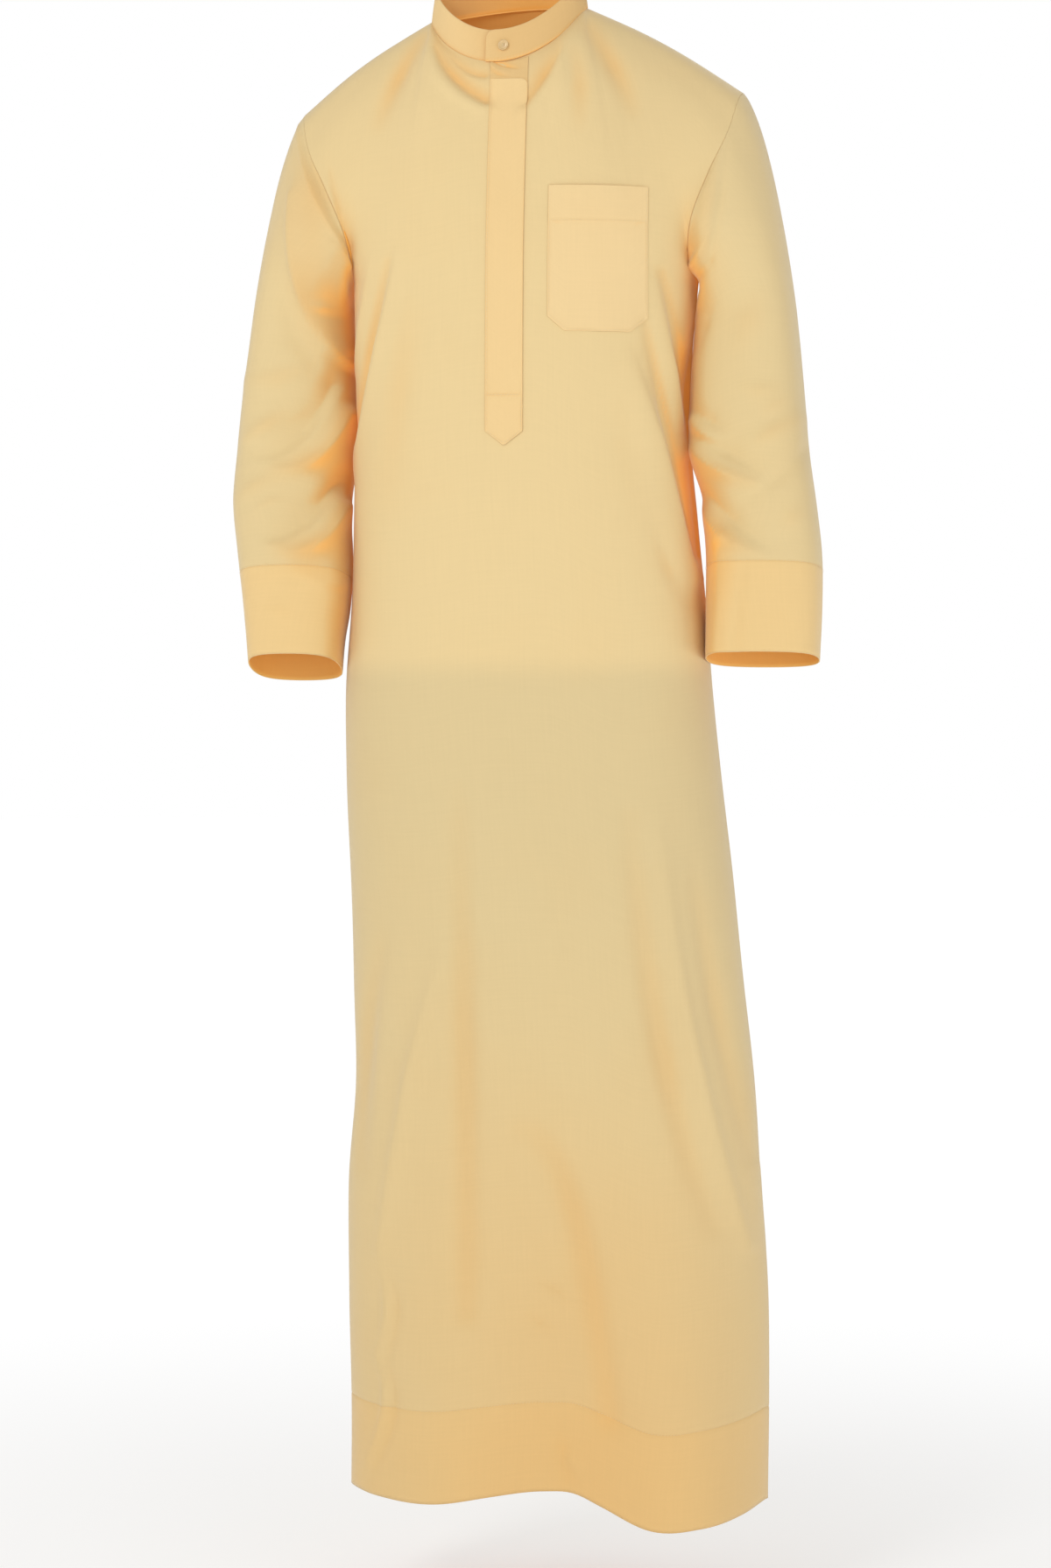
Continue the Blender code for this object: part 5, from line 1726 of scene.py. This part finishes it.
class ThobeColours(bpy.types.PropertyGroup):
    """Colours of the cloth, its painted shade, its sewing and the floor, in linear light."""

    one_layer: colour("One layer", "Cloth in one layer", (0.80, 0.616, 0.318))
    two_layers: colour("Two layers", "The hem and the cuffs", (0.834, 0.596, 0.277))
    pressed: colour("Pressed cloth", "The collar and the placket", (0.845, 0.620, 0.308))
    pocket: colour("Pocket", "The chest pocket", (0.85, 0.640, 0.335))
    # painted shade: the warmer, darker colour for shade and light bounced between the cloth
    warm: colour("Warm cloth", "Cloth in a fold or close to another piece", (0.86, 0.435, 0.105))
    # painted bounce light: the inner side is painted warmer than the outside
    inside: colour("Inside", "The cloth's inner side", (0.88, 0.51, 0.15))
    thread: colour("Thread", "Sewing thread", (0.84, 0.66, 0.37))
    button: colour("Button", "Collar button", (0.74, 0.52, 0.25))
    floor: colour("Floor", "Studio floor", (0.56, 0.56, 0.56))


class ThobeLight(bpy.types.PropertyGroup):
    """Strengths of the studio light."""

    sky: bpy.props.FloatProperty(
        name="Sky", description="Even light from all round", default=0.50, min=0, max=5
    )
    key: light_power("Key", "Large soft light beside the camera, on the wearer's right", 48.8)
    fill: light_power("Fill", "Weaker light from the wearer's left in front", 21.5)
    edge: light_power("Edges", "Weak light from each side, on the garment's edges", 6)


# --- operators ------------------------------------------------------------------------------------


def finish_piece(piece, slot, *materials, nodes=()):
    for i, made in enumerate(materials):
        if i < len(piece.data.materials):
            piece.data.materials[i] = made
        else:
            piece.data.materials.append(made)
    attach(piece, "root")
    if nodes:
        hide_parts(*nodes)
    return piece


class THOBE_OT_panels(bpy.types.Operator):
    """Makes the front and the back with their folds and their turned-up hem"""

    bl_idname = "thobe.panels"
    bl_label = "Front and back"

    def execute(self, context):
        free_names("front_cloth", "back_cloth")
        front = finish_piece(
            panel_piece("front_cloth", FRONT), "cloth", outer_cloth(), inner_cloth(),
            nodes=("front",),
        )
        back = finish_piece(
            panel_piece("back_cloth", BACK), "cloth", outer_cloth(), inner_cloth(),
            nodes=("back",),
        )
        return {"FINISHED"}


class THOBE_OT_sleeves(bpy.types.Operator):
    """Makes both sleeves with their creases and deep cuffs"""

    bl_idname = "thobe.sleeves"
    bl_label = "Sleeves"

    def execute(self, context):
        for side, word in SIDE_NAMES.items():
            free_names(f"sleeve_{word}_cloth")
            made = finish_piece(
                sleeve_piece(f"sleeve_{word}_cloth", side),
                "cloth", outer_cloth(), inner_cloth(), nodes=(f"sleeve_{word}",),
            )
        return {"FINISHED"}


class THOBE_OT_collar(bpy.types.Operator):
    """Makes the stand collar, whose left end laps over its right end"""

    bl_idname = "thobe.collar"
    bl_label = "Stand collar"

    def execute(self, context):
        free_names("collar_band")
        made = finish_piece(
            collar_piece("collar_band"), "doubled_cloth", pressed_cloth(), nodes=("collar",)
        )
        return {"FINISHED"}


class THOBE_OT_placket(bpy.types.Operator):
    """Makes the placket strip with its pointed end, and the creased cloth above it"""

    bl_idname = "thobe.placket"
    bl_label = "Placket"

    def execute(self, context):
        free_names("placket_strip", "placket_head")
        strip = finish_piece(
            placket_piece("placket_strip"), "doubled_cloth", pressed_cloth(), inner_cloth(),
            nodes=("placket",),
        )
        head = finish_piece(
            placket_top_piece("placket_head"), "doubled_cloth", pressed_cloth(), inner_cloth(),
            nodes=("placket_top",),
        )
        return {"FINISHED"}


class THOBE_OT_pocket(bpy.types.Operator):
    """Makes the chest pocket with its deep band and cut corners"""

    bl_idname = "thobe.pocket"
    bl_label = "Chest pocket"

    def execute(self, context):
        free_names("pocket_patch")
        made = finish_piece(
            pocket_piece("pocket_patch"), "doubled_cloth", pocket_cloth(), inner_cloth(),
            nodes=("pocket",),
        )
        return {"FINISHED"}


class THOBE_OT_button(bpy.types.Operator):
    """Makes the collar button and the thread that holds it"""

    bl_idname = "thobe.button"
    bl_label = "Collar button"

    def execute(self, context):
        free_names("collar_button_resin", "collar_button_thread")
        finish_piece(
            button_piece("collar_button_resin"), "button", button_material(),
            nodes=("collar_button",),
        )
        here, across, up, out = button_frame()
        sizes = context.scene.thobe_sizes
        seat = here + out * (sizes.collar_thickness / 2 + sizes.button_thickness - 0.00030)
        runs = []
        for slope in ((across + up) / math.sqrt(2), (across - up) / math.sqrt(2)):
            line = np.array([seat + slope * reach for reach in (-0.0036, 0.0, 0.0036)])
            runs.append((line, np.array([out] * 3)))
        kept = sizes.stitch_length, sizes.stitch_gap
        sizes.stitch_length, sizes.stitch_gap = 0.0030, 0.004
        thread = sewn_piece("collar_button_thread", runs)
        sizes.stitch_length, sizes.stitch_gap = kept
        finish_piece(thread, "cloth", thread_material())
        return {"FINISHED"}


class THOBE_OT_sewing(bpy.types.Operator):
    """Sews the stitches of the hem, cuffs, collar, placket and pocket"""

    bl_idname = "thobe.sewing"
    bl_label = "Stitching"

    def execute(self, context):
        sizes = context.scene.thobe_sizes
        off = -sizes.seam_groove * 0.75
        across = np.linspace(-0.985, 0.985, 420)
        hem = np.full(420, sizes.hem_depth / (UNDERARM - HEM))
        around = np.linspace(0.0, 1.0, 300)
        seams = {
            "hem_stitches": [on_surface(panel, across, hem, face, off) for face in (FRONT, BACK)],
            "placket_stitches": placket_stitch_lines(),
            "pocket_stitches": pocket_stitch_lines(),
            "collar_stitches": [on_collar(COLLAR_STITCH, -0.00005)],
        }
        for side, word in SIDE_NAMES.items():
            cuff = np.full(300, cuff_line(side))
            seams[f"cuff_{word}_stitches"] = [on_surface(sleeve, around, cuff, side, off)]
        for name, runs in seams.items():
            free_names(name)
            finish_piece(sewn_piece(name, runs), "cloth", thread_material())
        return {"FINISHED"}


class THOBE_OT_stage(bpy.types.Operator):
    """Sets the floor, the soft studio light and the camera"""

    bl_idname = "thobe.stage"
    bl_label = "Studio"

    def execute(self, context):
        free_names("studio_floor", "studio_camera", *(light[0] for light in LIGHTS))
        self.floor(context)
        self.light(context)
        self.camera(context)
        return {"FINISHED"}

    def floor(self, context):
        bpy.ops.object.select_all(action="DESELECT")
        bpy.ops.mesh.primitive_circle_add(
            vertices=96, radius=FLOOR_RADIUS, fill_type="NGON", location=(0, 0, FLOOR_HEIGHT)
        )
        floor = context.object
        floor.name = floor.data.name = "studio_floor"
        bpy.ops.object.transform_apply(location=True, rotation=True, scale=True)
        made, shader = new_material("Studio floor")
        if shader is not None:
            tree = made.node_tree
            place = object_place(tree)
            flat = stretched(tree, place, (1.0, 1.0, 0.0))
            distance = put(tree, "ShaderNodeVectorMath", {0: flat}, operation="LENGTH")
            far = smooth_range(tree, distance.outputs["Value"], 0.2, 1.8)
            grain = noise(tree, place, 30.0, 3.0)
            near = between_shades(tree, grain, context.scene.thobe_colours.floor, 0.985)
            feed(tree, shader, {
                "Base Color": blend_colours(tree, far, near, (0, 0, 0, 1)),
                "Emission Color": blend_colours(tree, far, (0.52, 0.52, 0.52, 1), (1, 1, 1, 1)),
                "Emission Strength": 1.0,
                "Roughness": 0.9,
                "Specular IOR Level": 0.05,
            })
        floor.data.materials.append(made)

    def light(self, context):
        strengths = context.scene.thobe_light
        world = bpy.data.worlds.get("Studio") or bpy.data.worlds.new("Studio")
        context.scene.world = world
        world.use_nodes = True
        tree = world.node_tree
        tree.nodes.clear()
        soft, white = (
            put(tree, "ShaderNodeBackground", {"Color": tint, "Strength": strength}).outputs[0]
            for tint, strength in (((1.0, 0.985, 0.96, 1), strengths.sky), ((1, 1, 1, 1), 1.0))
        )
        seen = tree.nodes.new("ShaderNodeLightPath").outputs["Is Camera Ray"]
        both = put(tree, "ShaderNodeMixShader", {0: seen, 1: soft, 2: white})
        put(tree, "ShaderNodeOutputWorld", {0: both.outputs[0]})
        for name, strength, place, size, tint in LIGHTS:
            bpy.ops.object.select_all(action="DESELECT")
            bpy.ops.object.light_add(type="AREA", location=place)
            lamp = context.object
            lamp.name = lamp.data.name = name
            lamp.data.shape = "DISK"
            lamp.data.size = size
            lamp.data.energy = getattr(strengths, strength)
            lamp.data.color = tint
            aim = LIGHT_TARGET - Vector(place)
            lamp.rotation_euler = aim.to_track_quat("-Z", "Y").to_euler()

    def camera(self, context):
        sine, cosine = math.sin(CAMERA_TURN), math.cos(CAMERA_TURN)
        place = (
            CAMERA_DISTANCE * sine + CAMERA_SIDE * cosine,
            -CAMERA_DISTANCE * cosine + CAMERA_SIDE * sine,
            CAMERA_HEIGHT,
        )
        aim = (math.pi / 2 - CAMERA_PITCH, 0, CAMERA_TURN)
        bpy.ops.object.select_all(action="DESELECT")
        bpy.ops.object.camera_add(location=place, rotation=aim)
        camera = context.object
        camera.name = camera.data.name = "studio_camera"
        camera.data.sensor_width = CAMERA_SENSOR
        camera.data.lens = CAMERA_LENS
        camera.data.clip_end = 60
        camera.data.dof.use_dof = False
        context.scene.camera = camera
        context.scene.view_settings.view_transform = "Standard"
        context.scene.view_settings.look = "None"


OPERATORS = (
    THOBE_OT_panels,
    THOBE_OT_sleeves,
    THOBE_OT_collar,
    THOBE_OT_placket,
    THOBE_OT_pocket,
    THOBE_OT_button,
    THOBE_OT_sewing,
    THOBE_OT_stage,
)


class VIEW3D_PT_thobe(bpy.types.Panel):
    """Lists the thobe's sizes, colours and steps"""

    bl_label = "Thobe robe"
    bl_idname = "VIEW3D_PT_thobe"
    bl_space_type = "VIEW_3D"
    bl_region_type = "UI"
    bl_category = "Thobe"

    def draw(self, context):
        for title, group in (
            ("Sizes", context.scene.thobe_sizes),
            ("Colours", context.scene.thobe_colours),
            ("Light", context.scene.thobe_light),
        ):
            box = self.layout.box()
            box.label(text=title)
            for name in group.__annotations__:
                box.prop(group, name)
        for operator in OPERATORS:
            self.layout.operator(operator.bl_idname)


CLASSES = (ThobeSizes, ThobeColours, ThobeLight, *OPERATORS, VIEW3D_PT_thobe)


def register():
    for made in CLASSES:
        bpy.utils.register_class(made)
    bpy.types.Scene.thobe_sizes = bpy.props.PointerProperty(type=ThobeSizes)
    bpy.types.Scene.thobe_colours = bpy.props.PointerProperty(type=ThobeColours)
    bpy.types.Scene.thobe_light = bpy.props.PointerProperty(type=ThobeLight)


def unregister():
    del bpy.types.Scene.thobe_light
    del bpy.types.Scene.thobe_colours
    del bpy.types.Scene.thobe_sizes
    for made in reversed(CLASSES):
        bpy.utils.unregister_class(made)


def main():
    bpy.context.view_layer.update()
    register()
    for operator in OPERATORS:
        getattr(bpy.ops.thobe, operator.bl_idname.split(".")[1])()


if __name__ == "__main__":
    main()
